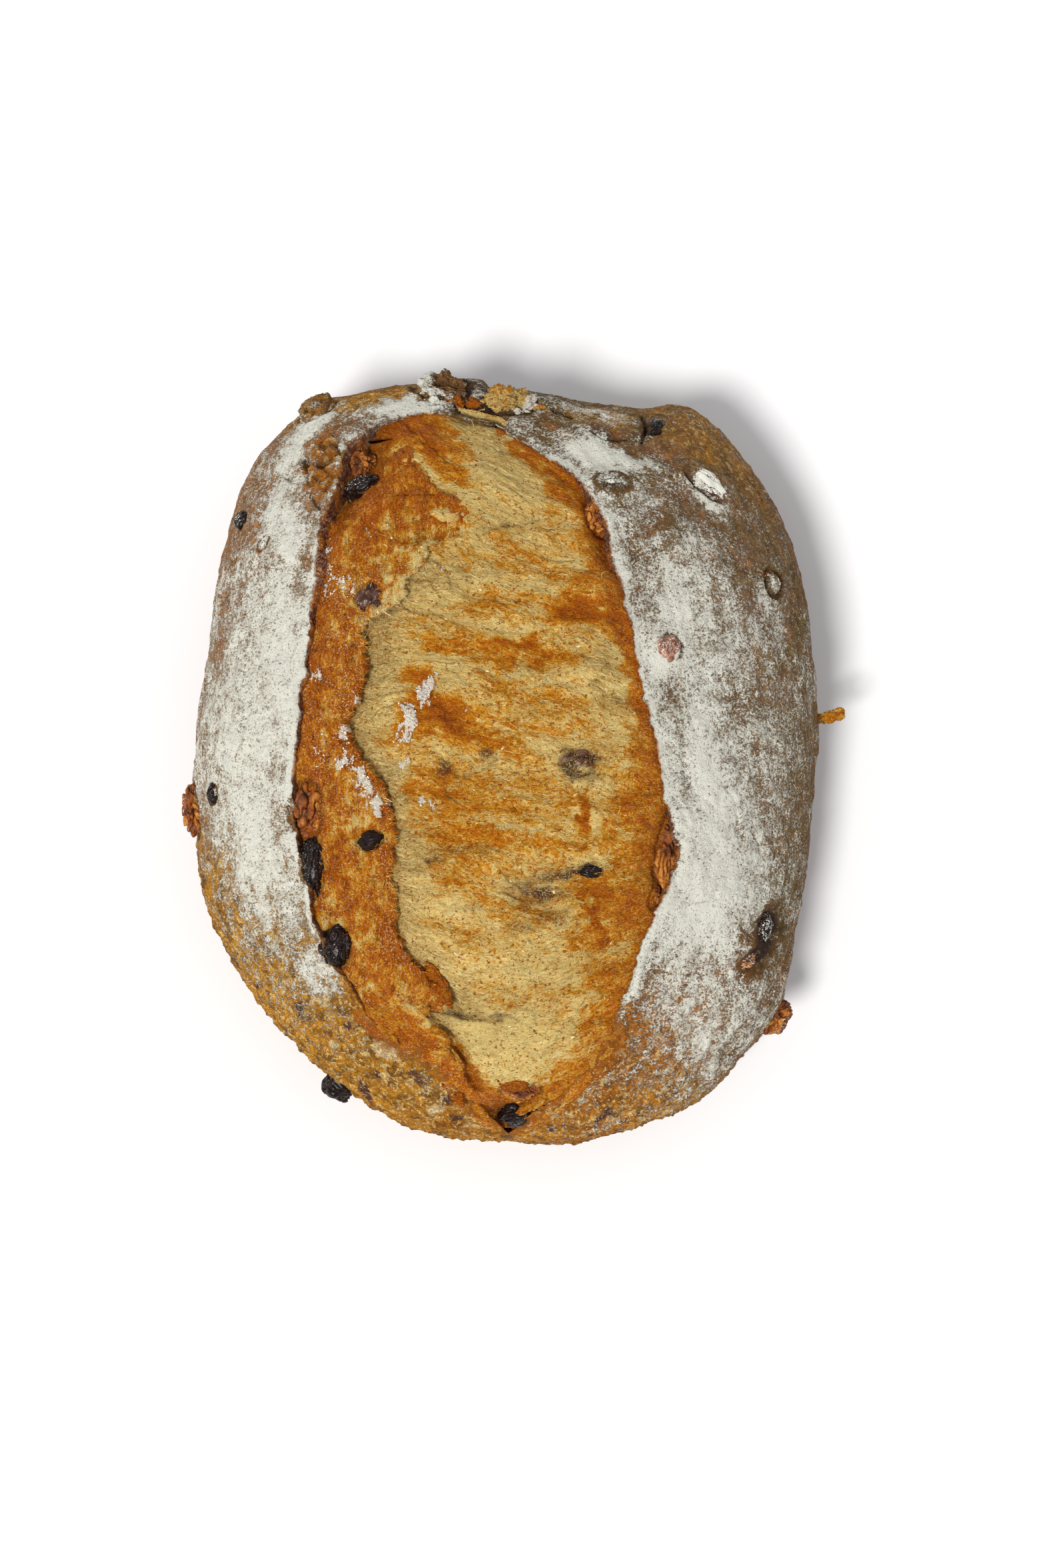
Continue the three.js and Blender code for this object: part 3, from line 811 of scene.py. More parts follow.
def crust_sections(rim, outline, lean):
    """A grid of places: one row for each station along the rim, each row one section from lip to table."""
    count = round(np.linalg.norm(np.diff(outline, axis=0), axis=1).sum() / CRUST_GRAIN)
    rim = spread(rim, count=count)
    outline = spread(outline, count=count)
    along = np.linspace(0, 1, count) * count * CRUST_GRAIN
    tangent = np.gradient(rim, axis=0)
    tangent /= np.linalg.norm(tangent, axis=1, keepdims=True)
    across = np.stack([-tangent[:, 1], tangent[:, 0]], -1)  # to the left of the way round, into the mouth
    sharp = lip_strength(rim[:, 0], rim[:, 1])
    ragged = 0.25 * relief_a(along / 3.1, 0.5) + 0.8 * relief_b(along / 12, 1.5)
    ragged = ragged + 0.22 * relief_c(along / 1.1, 2.5)
    ragged += 0.5 * rise(relief_d(along / 5, 3.5), 0.2, 0.6)
    fade = rise(along, 0, 8) * (1 - rise(along, along[-1] - 8, along[-1]))
    rim = rim + across * (ragged * fade)[:, None]
    start = np.arcsin(np.clip(dome_share(rim[:, 0], rim[:, 1]), 0, 0.995) ** (CROWN_POWER / 2))
    wide = 1 + spots(rim[:, 0], rim[:, 1], WIDE_WALL)
    lean = lean * (0.3 + 0.7 * sharp) * wide * (1 + 0.5 * relief_d(along / 9, 6.5))
    lip = (1 + 0.35 * relief_c(along / 7, 4.5)) * sharp * np.where(rim[:, 0] > 0, 0.5, 1.0)
    sections = []
    for depth_in, below in LIP_LOOP:
        place = rim + across * (depth_in * lean * (0.35 + 0.65 * fade))[:, None]
        z = dome(place[:, 0], place[:, 1]) - np.where(below > 0, below, below * lip)
        sections.append(np.c_[place, z])
    q0 = np.sin(start) ** (2 / CROWN_POWER)
    for t in np.linspace(0, 1, TOP_COLUMNS) ** 0.95:
        angle = start + (math.pi / 2 - start) * t
        q = np.sin(angle) ** (2 / CROWN_POWER)
        place = rim + (outline - rim) * ((q - q0) / (1 - q0))[:, None]
        away = np.linalg.norm(place - rim, axis=1)
        z = dome(place[:, 0], place[:, 1]) + LIP_RISE * lip * np.exp(-((away / LIP_FADE) ** 1.5)) * fade
        sections.append(np.c_[place, z])
    for angle in np.linspace(0, FOOT_ANGLE, BELLY_COLUMNS)[1:]:
        place = outline * math.cos(angle) ** (2 / BELLY_POWER)
        drop = BELLY_DEPTH * math.sin(angle) ** (2 / BELLY_POWER)
        sections.append(np.c_[place, np.full(count, max(WIDEST_LEVEL - drop, 0.25))])
    return np.stack(sections, 1), along, sharp


def mixed(base, colour, share):
    """Linear colours with a share of another one mixed in."""
    share = np.clip(share, 0, 1)[..., None]
    return base + (np.array(linear(colour)[:3]) - base) * share


RUST_PATCHES = [(40, -90, 32, 13, 46, 1.5), (-53, 83, 10, 7, 75, 1.8), (-10, -110, 30, 6, -4, 0.4)]
STAIN_PATCHES = [
    (32, 75.5, 6, 4, 0, 0.8), (28, 92, 6, 2.5, 0, 0.7), (-6, 108, 20, 5, -6, 0.9),
    (-8, 101.5, 9, 3.6, -8, 1.2), (76.5, -54, 8, 5, 70, 1.1), (72, -63, 5, 4, 60, 0.7),
    (41.5, 96, 6, 3, 80, 0.7),
]
BUBBLE_PATCHES = [
    (-34.5, -88.6, 4, 2.4, -20, 1.3), (-49.5, -86.5, 2, 1.2, 0, 1.0), (-20, -106, 3, 1.4, 10, 1.0),
]


def golden_share(x, y):
    """How far the crust is baked golden instead of brown."""
    return spots(x, y, GOLDEN_PATCHES)


def high_share(z):
    """0 low on the sides, 1 near the crown: spots and flakes are fewer down the side."""
    return rise(z, 18, 52)


def crust_paint(x, y, z):
    """The baked crust's own colour under its flour."""
    base = np.broadcast_to(np.array(linear(BROWN_CRUST)[:3]), (*np.shape(x), 3))
    cloud = relief_a.layers(x, y, z, size=11)
    cloud_b = relief_b.layers(x, y, z, size=7)
    base = mixed(base, MAUVE_CRUST, rise(x, 20, 60) * rise(y, -70, -30) * 0.85 + 0.5 * cloud_b)
    olive = (0.35 + 0.7 * cloud) * (1 - 0.35 * rise(x, 10, 50)) + 0.3 * rise(x, 70, 92) * rise(z, 20, 40)
    base = mixed(base, OLIVE_CRUST, olive)
    base = mixed(base, LOW_CRUST, 0.9 * (1 - rise(z, 14, 50)) * (0.9 + 0.5 * cloud_b))
    base = mixed(base, LEFT_CRUST, 0.75 * rise(-x, 30, 56) * rise(y, -60, -20))
    golden = golden_share(x, y)
    base = mixed(base, GOLDEN_CRUST, golden * (0.82 + 0.7 * cloud_b))
    rust = spots(x, y, RUST_PATCHES)
    base = mixed(base, RUST_CRUST, rust * (0.9 + 0.6 * cloud) + 0.5 * rise(cloud_b, 0.35, 0.8))
    base = mixed(base, STAIN, spots(x, y, STAIN_PATCHES) * (0.8 + 0.6 * cloud_b))
    high = 0.25 + 0.75 * high_share(z)
    base = mixed(base, MAUVE_SPOT, 0.9 * high * rise(relief_c(x, y, z, size=5.5), 0.5, 0.62) * golden)
    scorch = rise(relief_d.layers(x, y, z, size=4.2, count=4, gain=0.65), 0.22, 0.5)
    base = mixed(base, SCORCH_SPOT, 0.65 * scorch * rise(golden + rust, 0.3, 0.8))
    flakes = rise(relief_b.layers(x / 2.6, y / 2.6, z / 2.6 + 4, gain=0.6), 0.42, 0.6)
    base = mixed(base, PALE_FLAKE, 0.8 * high * flakes * rise(golden + 0.5 * rust, 0.3, 0.8))
    return mixed(base, BUBBLE, rise(spots(x, y, BUBBLE_PATCHES), 0.3, 0.7))


def outward_normals(points):
    """Normals of a grid of crust, made to point out of the loaf."""
    normals = grid_normals(points)
    return -normals if normals[len(points) // 2, len(LIP_LOOP) + 10, 2] < 0 else normals


def make_crust(side, rim, outline, lean):
    """One side's crust: its relief, then how floured, scorched, painted with shade and golden each place is.
    """
    points, along, sharp = crust_sections(rim, outline, lean)
    skin = len(LIP_LOOP)  # columns from here on are the outer skin
    normals = outward_normals(points)
    x, y, z = points[..., 0], points[..., 1], points[..., 2]
    steps = np.linalg.norm(np.diff(points, axis=1), axis=-1)
    across = np.c_[np.zeros(len(points)), np.cumsum(steps, axis=1)]
    across -= across[:, skin][:, None]
    outer = rise(across, -0.5, 2.0)
    s = np.broadcast_to(along[:, None], x.shape)
    bulge, groove, edge = around_lumps(x, y, z)
    height = 1.2 * relief_a(x, y, z, size=30) + 0.6 * relief_b(x, y, z, size=12)
    height += 0.3 * relief_c(x, y, z, size=4.5) + 0.4 * relief_d.layers(s / 20, across / 4.0)
    height -= 0.5 * relief_c.ridges(s / 26, across / 7) ** 3 * rise(relief_b(x, y, z, size=20), -0.2, 0.3)
    height += 0.14 * relief_a.layers(x, y, z, size=1.9, count=2)
    height += 0.8 * rise(-y - 0.3 * x, 30, 80) * relief_d.layers(x, y, z, size=4.2, count=4, gain=0.6)
    blisters = rise(relief_b(x, y, z, size=2.4), 0.35, 0.8)
    height += 0.35 * blisters * rise(relief_c(x, y, z, size=16), -0.1, 0.4)
    upper = rise(z, 18, 45)
    height += (spots(x, y, CRUST_BULGES) + bulge) * upper + bulge * (1 - upper) - groove
    torn = rise(spots(x, y, TORN_CRUST), 0.2, 0.7) * upper
    height += 0.9 * torn * relief_c.layers(x, y, z, size=2.6, count=4, gain=0.6)
    crack = 0.8 * torn * rise(relief_d.layers(x, y, z, size=2.4, count=2), 0.42, 0.6)
    height -= 1.2 * crack
    for places, depth, width in CRUST_CRACKS:
        line = curve(places, 0.5)
        near = (np.hypot(x - line[:, 0].mean(), y - line[:, 1].mean()) < CRACK_REACH) & (z > CRACK_LOWEST)
        if near.any():
            away, _ = distance(line, x[near], y[near])
            cut = bell(away, width)
            height[near] -= depth * cut
            crack[near] = np.maximum(crack[near], cut)
    seam = np.minimum(s, along[-1] - s)
    height -= 1.8 * bell(seam, 1.6) * rise(z, 12, 40)
    height *= outer * (0.35 + 0.65 * rise(seam, 0, 4)) * rise(z, 0, 6)
    height += 0.3 * relief_b.layers(s / 1.8, across / 1.8, count=2) * (1 - outer) * rise(across, -8, -4)
    points = points + normals * height[..., None]
    level = np.interp(y, *FLOUR_LEVEL[side]) * (1 - FLOUR_FADE[side] * rise(across, 16, 48))
    level = level * (0.35 + 0.65 * rise(z, 10, 46))
    wx, wy = warped(x, y, 6, 2.0)
    bare = spots(wx, wy, BARE_PATCHES) * (0.6 + 0.6 * relief_a(x, y, z, size=4))
    flour = level + spots(wx, wy, FLOUR_PATCHES) - bare
    flour += 0.15 * relief_b.layers(x, y, z, size=9, count=4, gain=0.7)
    flour += 0.12 * relief_d(s / 24, across / 3.0) + 0.15 * np.clip(height, -0.6, 0.6) - 0.5 * edge
    flour += 0.3 * bell(across - 1.0, 1.4) * sharp[:, None] * rise(flour, 0.3, 0.6)
    merged = 1 - sharp[:, None]
    frayed = across + 2.2 * relief_a.layers(x, y, z, size=5)
    flour -= 0.9 * merged * (y < 0) * (1 - rise(frayed, 1.5, 7))
    wall = (1 - rise(across, -1.0, 0.2)) * sharp[:, None]
    # Partly scorch, partly painted shade: the grooves round the lumps, the cracks and the seam are darkened
    burn = np.clip(0.95 * edge * (groove > 0.25) + crack, 0, 1) * 0.92
    burn = np.maximum(burn, 0.6 * bell(seam, 1.0) * rise(z, 20, 40))
    toasted = merged * (y < 0) * (1 - rise(frayed, 1.0, 8))
    toasted = toasted * (0.85 + 0.5 * relief_c.layers(x, y, z, size=3, count=2))
    paint = mixed(crust_paint(x, y, z), TOASTED_EDGE, toasted)
    husk = 0.2 + 0.65 * np.clip(golden_share(x, y), 0, 1) * (0.3 + 0.7 * high_share(z))
    facts = {"flour": flour, "wall": wall, "burn": burn * outer, "husk": husk, "paint": paint}
    flow = np.stack([s, across, np.zeros_like(s)], -1)
    close_crust(side, points, facts, flow)


def close_crust(side, points, facts, flow):
    """Two pieces from a grid of skin, upper and lower, each closed through the loaf's inside."""
    normals = outward_normals(points)
    split = len(LIP_LOOP) + TOP_COLUMNS // 2
    for part, columns in (("upper", slice(0, split + 1)), ("lower", slice(split, None))):
        skin = points[:, columns]
        first, last = (CORE + (skin[:, column] - CORE) * CORE_SHARE for column in (0, -1))
        shell = np.concatenate([first[:, None], skin, last[:, None]], axis=1)

        def padded(grid):
            flat = np.pad(grid[:, columns], ((0, 0), (1, 1), (0, 0))[: grid.ndim], mode="edge")
            return flat.reshape(-1, *grid.shape[2:])

        name = f"crust_{side}_{part}"
        make_piece(
            name, shell.reshape(-1, 3), tube_faces(shell), crust_look,
            {key: padded(values) for key, values in facts.items()}, padded(flow), flat_uv(*shell.shape[:2]),
            padded(normals), stands_for=("loaf",),
        )


make_crust("left", rim_left, outline_line(*SEAM_ANGLES), 1.0)
make_crust("right", rim_right, outline_line(SEAM_ANGLES[1], SEAM_ANGLES[0] + 360), 0.6)


# ---- the underside
BOTTOM_RINGS = 110
BOTTOM_SPOKES = 640
BOTTOM_THICKNESS = 2.6  # of the closed plate that the underside is


def make_underside():
    """The flat baked bottom: rings from the middle out to where the crust leaves the table."""
    angle = np.linspace(0, TAU, BOTTOM_SPOKES, endpoint=False)
    edge = half_width(angle) * math.cos(FOOT_ANGLE) ** (2 / BELLY_POWER)
    share = np.linspace(0.004, 1, BOTTOM_RINGS)
    reach = share[:, None] * edge[None]
    x, y = reach * np.cos(angle), reach * np.sin(angle)
    lift = 0.25 * rise(relief_a.layers(x / 9, y / 9), 0.1, 0.9) + 0.5 * rise(share, 0.965, 1.0)[:, None]
    lift += 0.12 * rise(relief_b.layers(x / 2.2, y / 2.2, count=2), 0, 0.8)
    bottom = np.stack([x, y, lift], -1)
    top = bottom[[-1, 0]] * np.array([0.985, 0.985, 0]) + np.array([0, 0, BOTTOM_THICKNESS])
    shell = np.concatenate([bottom, top], 0)
    flat = shell.reshape(-1, 3)
    fx, fy, fz = flat.T
    facts = {
        "flour": 0.1 + 0.4 * relief_c.layers(fx, fy, size=14),
        "burn": np.full(len(flat), 0.25),
        "husk": np.full(len(flat), 0.3),
        "paint": mixed(
            crust_paint(fx, fy, fz + 10), RUST_CRUST, 0.4 + 0.4 * relief_d.layers(fx, fy, size=20, count=2)
        ),
    }
    make_piece("underside", flat, tube_faces(shell), crust_look, facts, flow=flat)


make_underside()

# ---- the crumb
# Toasted patches of the crumb: (x, y, half length, half width, degrees, strength)
TOAST_PATCHES = [
    (4, -12, 24, 14, 0, -0.06), (-2, -62, 22, 8, 0, -0.22), (-12, 14, 12, 6, 0, -0.15),
    (23, -82, 8, 10, 0, -0.35), (32, -49, 6, 10, 0, 0.2), (26, 28, 8, 8, 0, 0.12),
    (1.5, -86, 14, 8, 0, -0.45), (-14, -83, 12, 6, -24, -0.35), (2, 78, 16, 8, -20, -0.3),
    (-24, 1, 7, 9, 0, 0.25), (-12, 1, 9, 6, 0, 0.25), (5, 22.6, 10, 4, -10, 0.3), (21, 37, 8, 5, -20, 0.3),
    (-22, -15.5, 8, 6, 0, 0.3), (-14, -40, 9, 5, 10, 0.3), (8, -41, 12, 4, 0, 0.3),
    (24, -52, 12, 5, 80, 0.35), (-6, 14, 12, 3, -5, 0.25), (0, -2, 14, 3, 5, 0.2), (-28, 58, 6, 5, 0, 0.2),
    (-20, 5, 12, 7, -5, 0.5), (-21, 12, 4, 8, 20, 0.45), (-4, 25, 24, 4, -6, 0.35),
    (-4, -18, 26, 7, -8, 0.3), (22.5, -25, 9, 1.3, 86, 0.9), (26, -52, 10, 1.6, -82, 0.9),
    (31, -30, 14, 3, 86, 0.3), (32, -62, 12, 6, 70, -0.35), (18, 44, 7, 4, -30, 0.35),
    (24, 36, 9, 3.5, -15, 0.35), (20, 32, 10, 2.5, -5, 0.25), (28, -75, 16, 7, 68, 0.3),
    (-20, 89, 12, 6, -35, 0.6), (-16, 80, 10, 3, -40, 0.5), (-8, -60, 20, 4, 4, 0.12),
    (-26, 17, 4, 4, 0, 0.4), (14, 8, 16, 5, -5, 0.2), (-24, -24, 8, 6, 0, 0.2), (6, -50, 18, 5, 10, 0.2),
    (-34, -88, 16, 5, -25, 0.5), (14, 70, 8, 4, -60, 0.3), (-12, -30, 16, 4, 4, 0.3),
    (10, -32, 10, 4, -10, 0.25), (2, 36, 20, 3, -4, 0.25), (-2, 52, 16, 4, 5, 0.12),
    (-24, 60, 8, 5, 0, 0.2),
]
PALE_PATCHES = [
    (2, 80, 16, 10, -30, 0.7), (4, 62, 18, 5, 8, 0.4), (-34, 18, 7, 15, 0, 0.9), (-36, -6, 6, 12, 20, 0.9),
    (-20, 46, 8, 6, 0, 0.6), (-27, -34, 5, 18, 0, 0.8), (31, 15, 6, 12, 8, 0.9),
    (-16, -74, 14, 5, -14, 0.8), (8, -40, 12, 4, 0, 0.5), (-4, 93, 12, 5, -14, 0.7),
    (-20, -64, 8, 4, -20, 0.6), (-14, -2, 8, 5, 0, 0.3), (-20, -22, 8, 5, 0, 0.4),
]
# Places where shade is painted on the crumb, in the same terms
PAINTED_SHADE_PATCHES = [
    (-36, 32, 6, 11, 0, 0.8), (26, 28, 8, 8, 0, 0.35), (-12, 50, 16, 7, 0, 0.45),
    (-20, -36, 10, 6, 0, 0.55), (-5, 86, 13, 8, -20, 0.35), (-37, -4, 4, 14, 20, 0.4),
    (14, -46, 12, 7, 0, 0.4), (-18, -76, 10, 3, -10, 0.5),
]
CRUMB_FLOUR = [
    (-21.5, 12.5, 2.2, 4.5, -20, 1.0), (-27, 5, 2, 5, 24, 0.9), (-28.6, 0, 2.5, 3, 0, 0.8),
    (-22, -19, 2.5, 2, 0, 0.7), (-24, 13, 2, 2, 0, 0.8), (-10, 8, 2, 1.5, 0, 0.5), (-17, 50, 3, 2, 0, 0.4),
    (-29, -8, 2, 5, 20, 0.5),
]
BRUISES = [
    (-5, -5.6, 2.2, 1.4, 10, 0.9), (-17, -9.6, 3, 2.4, -30, 0.8), (-20, -35.6, 2.6, 1.2, 0, 0.7),
    (-13.5, -78.6, 5, 1.2, -4, 0.8), (-2, -79.6, 5, 1.0, 0, 0.7), (17, -39.5, 8, 1.3, 8, 0.9),
    (23, -38, 3, 1.4, 0, 1.0), (8, -44, 7, 1.6, -12, 0.6), (14, -52, 5, 1.8, 0, 0.5),
    (23, -6.8, 5.5, 2.2, -8, 1.1), (18.5, -9.5, 2.5, 4, 0, 0.9), (24, -12, 5, 2, 0, 0.5),
    (10, -46, 8, 2.5, 4, 0.5), (-12, -33, 10, 1.5, 0, 0.3), (6, -54, 6, 2, 0, 0.35),
    (-47.5, -88.4, 3, 1.5, 0, 0.4),
]
# Creases in the crumb: places along the crease, its depth and its half-width
CREASES = [
    ([(-31, 98), (-25.4, 91.4), (-20.9, 86.8), (-17.3, 83.3), (-12.6, 81.5), (-7.2, 79.8)], 1.4, 0.6),
    ([(-10, 59.5), (-4, 61), (4, 62.5)], 1.0, 0.6),
    ([(-22, 52), (-15, 49.6), (-10, 50)], 0.8, 0.5),
    ([(-10, 17), (-18, 15), (-20, 9), (-14, 8)], 1.0, 0.6),
    ([(-8, -9), (-12.5, -13.1), (-15.9, -16), (-14.3, -18.8), (-10.6, -19.7)], 1.2, 0.6),
    ([(-22, -77), (-13, -78.6), (-4, -80), (2, -78)], 1.3, 0.7),
    ([(-29.5, -64), (-25.3, -71), (-20.1, -78.4), (-14.5, -86), (-10.7, -93.3), (-5, -103)], 4.4, 1.7),
    ([(20, -39), (27, -38), (34, -36)], 0.6, 0.6),
    ([(8, -48), (14, -50), (21, -49)], 0.6, 0.5),
    ([(14, 92), (4, 94), (-8, 97)], 0.8, 0.7),
    ([(-40, 35.5), (-31, 37), (-22, 36.5), (-14, 33), (-6, 31), (4, 29.4), (14, 29.5)], 1.1, 0.8),
    ([(-29, 41), (-27.6, 36.8), (-18, 35), (-10, 36)], 0.9, 0.6),
    ([(-15.4, -15), (-14, -11.5), (-4.4, -8.8), (2.3, -0.8)], 0.9, 0.6),
    ([(-10, 58), (-0.5, 61.6), (7, 63), (14.6, 65.4)], 1.1, 0.7),
    ([(14, 28), (20, 31), (27, 31)], 0.7, 0.6), ([(2, 12), (12, 15), (22, 13)], 0.6, 0.6),
    ([(-8, -28), (2, -26), (14, -28)], 0.6, 0.6), ([(-24, 24), (-14, 22), (-4, 23)], 0.6, 0.6),
]
CRUMB_LUMPS = [
    (0, 80, 16, 9, -30, 1.6), (-2, 42, 22, 7, 0, 1.0), (4, 12, 26, 9, -4, 0.8), (-8, -22, 24, 8, -8, 1.0),
    (2, -60, 22, 9, 4, 0.8), (2, -90, 14, 8, 8, 2.0), (30, 40, 6, 20, 12, 0.8), (34, -20, 8, 22, -4, 1.0),
    (24, -66, 8, 20, -20, 0.8), (-14, 66, 12, 8, 0, 0.8),
]
TILT = ([-112, -75, -50, 0, 40, 70, 95], [-0.1, 0.0, 0.04, 0.1, 0.14, 0.34, 0.5])
SMILE = ([-112, -85, -60, -35, 0], [0.012, 0.010, 0.006, 0.002, 0])
SPINE_X = -5
SLAB_BOTTOM = 30.0
CRUMB_TUCK = 3.2  # how far the crumb runs on under the crust
CRUMB_LIMIT = 0.965  # share of the plan beyond which there is no crumb
# Toasted band along the right lip, by place along Y: its width, then its strength
BAND_WIDTH = (
    [-115, -90, -60, -35, -10, 6, 24, 45, 75, 84, 90, 95], [4, 7, 12, 14, 9, 6, 5.5, 9, 10, 6, 3, 0.5],
)
BAND_STRENGTH = ([-70, -40], [0.46, 0.7])


def fibres(x, y):
    """Coordinates along and across the crumb's stretched strands."""
    dx = x - SPINE_X
    across = y + np.interp(y, *TILT) * dx - np.interp(y, *SMILE) * dx**2
    across = across + 2.6 * relief_a(x / 30, y / 20, 3.1) + 1.3 * relief_b(x / 9, y / 7, 5.2)
    across = across + 0.5 * relief_c(x / 3.6, y / 3.2, 0.7)
    along = dx + 0.4 * y + 3 * relief_c(x / 30, y / 30, 8.8)
    return along, across


def strand_relief(x, y):
    """Height of folds, overlapping layers, curls, strands and pores in the crumb, and its finest part."""
    along, across = fibres(x, y)
    folds = 1.7 * relief_a.layers(along / 17, across / 9, 0.3, gain=0.5)
    turn = across / 9.5 + 1.6 * relief_d(along / 16, across / 12, 2.2)
    share = turn - np.floor(turn)
    shown = rise(relief_b(along / 11, across / 10, 3.8), 0.0, 0.45)
    layered = 0.9 * (share - rise(share, 0.86, 1.0) - 0.45) * shown
    curls = 0.5 * relief_b.layers(x / 4.4, y / 3.0, 7.7, gain=0.55)
    threads = 0.22 * relief_c.ridges(along / 4, across / 1.3, 4.4)
    threads = threads + 0.12 * relief_d.ridges(along / 2.4, across / 0.9, 6.4)
    grains = 0.16 * relief_a.layers(x / 1.0, y / 0.9, 3.3, count=2)
    pores = -0.7 * rise(relief_d(along / 2.4, across / 1.5, 6.1), 0.5, 0.9)
    pores = pores * rise(relief_a(x / 9, y / 7, 7.7), 0.0, 0.5)
    fine = threads + grains + pores - 0.2
    return folds + layered + curls + fine, fine, along, across


def step_height(y):
    return np.interp(y, STEP_PLACES, STEP_HEIGHTS)


def clumps(x, y, flour):
    """Clots of flour: 1 inside, 0 outside."""
    ragged = flour + 0.8 * relief_c.layers(x / 1.7, y / 2.2, 5.5, gain=0.65)
    return rise(flour, 0.05, 0.25) * rise(ragged, 0.4, 0.8)


def crumb_surface(x, y, from_lip):
    """Height of the crumb with all its relief, and the facts that its finish reads."""
    past, _ = distance(torn_edge, x, y)
    right = x > torn_place(y)
    past = np.where(right, past, -past)
    step = step_height(y)
    relief, fine, along, across = strand_relief(x, y)
    wall = bell(past, 4.6 + 2.2 * relief_d(x / 9, y / 7, 2.6)) * right * rise(step, 0.8, 3.0)
    foam = 0.4 * relief_b.layers(x / 1.5, y / 1.5, 9.1, gain=0.6)
    sharp = lip_strength(x, y)
    deep = spots(x, y, HOLLOWS)
    base = dome(x, y) - lip_drop(x, y) * sharp * (1 - rise(from_lip, 0, CRUMB_SWELL))
    base += 0.35 * (1 - sharp) * relief_b.layers(x / 3, y / 3, 4.0, count=2) * (1 - rise(from_lip, 0, 6))
    base -= step * (1 - rise(past, 0.0, STEP_FILL) ** 0.8)
    base -= 2.5 * (past < 0) * rise(y, -74, -60) * rise(step, 0.2, 1.2) * rise(-past, 0, 2)
    base -= deep * rise(from_lip, -3, 0.5)
    height = base + relief * (1 - 0.5 * wall) * rise(from_lip, -1, 3) + foam * wall
    height = height + spots(x, y, CRUMB_LUMPS)
    crease_mark = np.zeros(np.shape(x))
    for places, depth, width in CREASES:
        away, at = distance(curve(places, 1.5), x, y)
        away = away + 0.6 * relief_a(x / 2.2, y / 2.2, 2.0)
        cut = bell(away, width) * rise(at, 0, 0.2) * (1 - rise(at, 0.8, 1))
        height -= depth * cut
        crease_mark = np.maximum(crease_mark, cut)
    _, groove, ring = around_lumps(x, y, height)
    height -= 0.8 * groove
    right_lip, _ = distance(rim_right, x, y)
    left_lip, _ = distance(rim_left, x, y)
    reach = np.interp(y, *BAND_WIDTH)
    frayed = 2.0 * relief_b(x / 8, y / 5, 8.1) + 1.0 * relief_c(x / 3, y / 2.2, 4.0)
    band = np.interp(y, *BAND_STRENGTH) * (1 - rise(right_lip + 1.5 * frayed, reach * 0.5, reach * 1.4))
    band = np.maximum(band, 0.75 * (1 - rise(left_lip + frayed, 5.5, 10.5)) * rise(-y, 50, 74))
    far_band = 0.8 * (1 - rise(left_lip + frayed, 3, 12)) * rise(y, 60, 92)
    band = np.maximum(band, far_band * (1 - rise(x, -26, -14)))
    wx, wy = warped(x, y, 7, 3.0)
    toast = 0.1 + spots(wx, wy, TOAST_PATCHES) * (1.25 + relief_d(along / 9, across / 3, 1.3)) + band
    toast += 0.34 * relief_d.layers(along / 13, across / 8, 1.1) + 0.55 * np.clip(fine, -0.3, 0.5)
    cooked = 0.3 * rise(deep, 1.5, 4) + 0.3 * band * (1 - rise(right_lip, 1, 4))
    toast += cooked + 0.25 * band * relief_c.layers(x / 4, y / 5, 2.9)
    pale = spots(wx, wy, PALE_PATCHES) * (0.8 + 0.6 * relief_a(x / 5, y / 4, 6.6))
    pale = np.clip(pale + 0.8 * wall, 0, 1)
    toast -= (0.5 * pale + 0.4 * crease_mark) * (1 - rise(band, 0.3, 0.6))
    clots = clumps(x, y, spots(*warped(x, y, 4, 1.5), CRUMB_FLOUR))
    height += 0.35 * clots
    # low is painted shade: pores and low relief, creases, the shadow below the shelf's torn edge and the
    # shade patches
    low = np.clip(-1.3 * fine - 0.1, 0, 1) + 0.4 * crease_mark + 0.4 * bell(past - 0.8, 1.4) * (step > 1.5)
    low = low + 0.3 * rise(-relief, 0.8, 2.2)
    low = low + spots(wx, wy, PAINTED_SHADE_PATCHES) * (0.8 + 0.5 * relief_b(x / 5, y / 3, 1.7))
    facts = {
        "toast": toast,
        "pale": pale * 0.85,
        "flour": 1.2 * clots - 0.2,
        "salt": 0.15 + 0.7 * clots + 0.5 * band * (1 - 0.8 * rise(y, 50, 65)),
        # painted shade in the hollows too
        "low": np.clip(low, 0, 1) + 0.6 * rise(deep, 1.5, 5),
        # Painted shadow in the line under the crust's lip; scorch with painted shade in the rings round the
        # lumps
        "burn": 0.7 * ring * (groove > 0.3) + 0.4 * (1 - rise(from_lip, 0, 1.3)) * sharp * (from_lip > -2),
        "bruise": np.clip(spots(*warped(x, y, 3, 1.2), BRUISES), 0, 1),
    }
    return height, facts, along, across


SURFACES = {}  # the crumb's and the shelf's places, with where strands and flour grains go


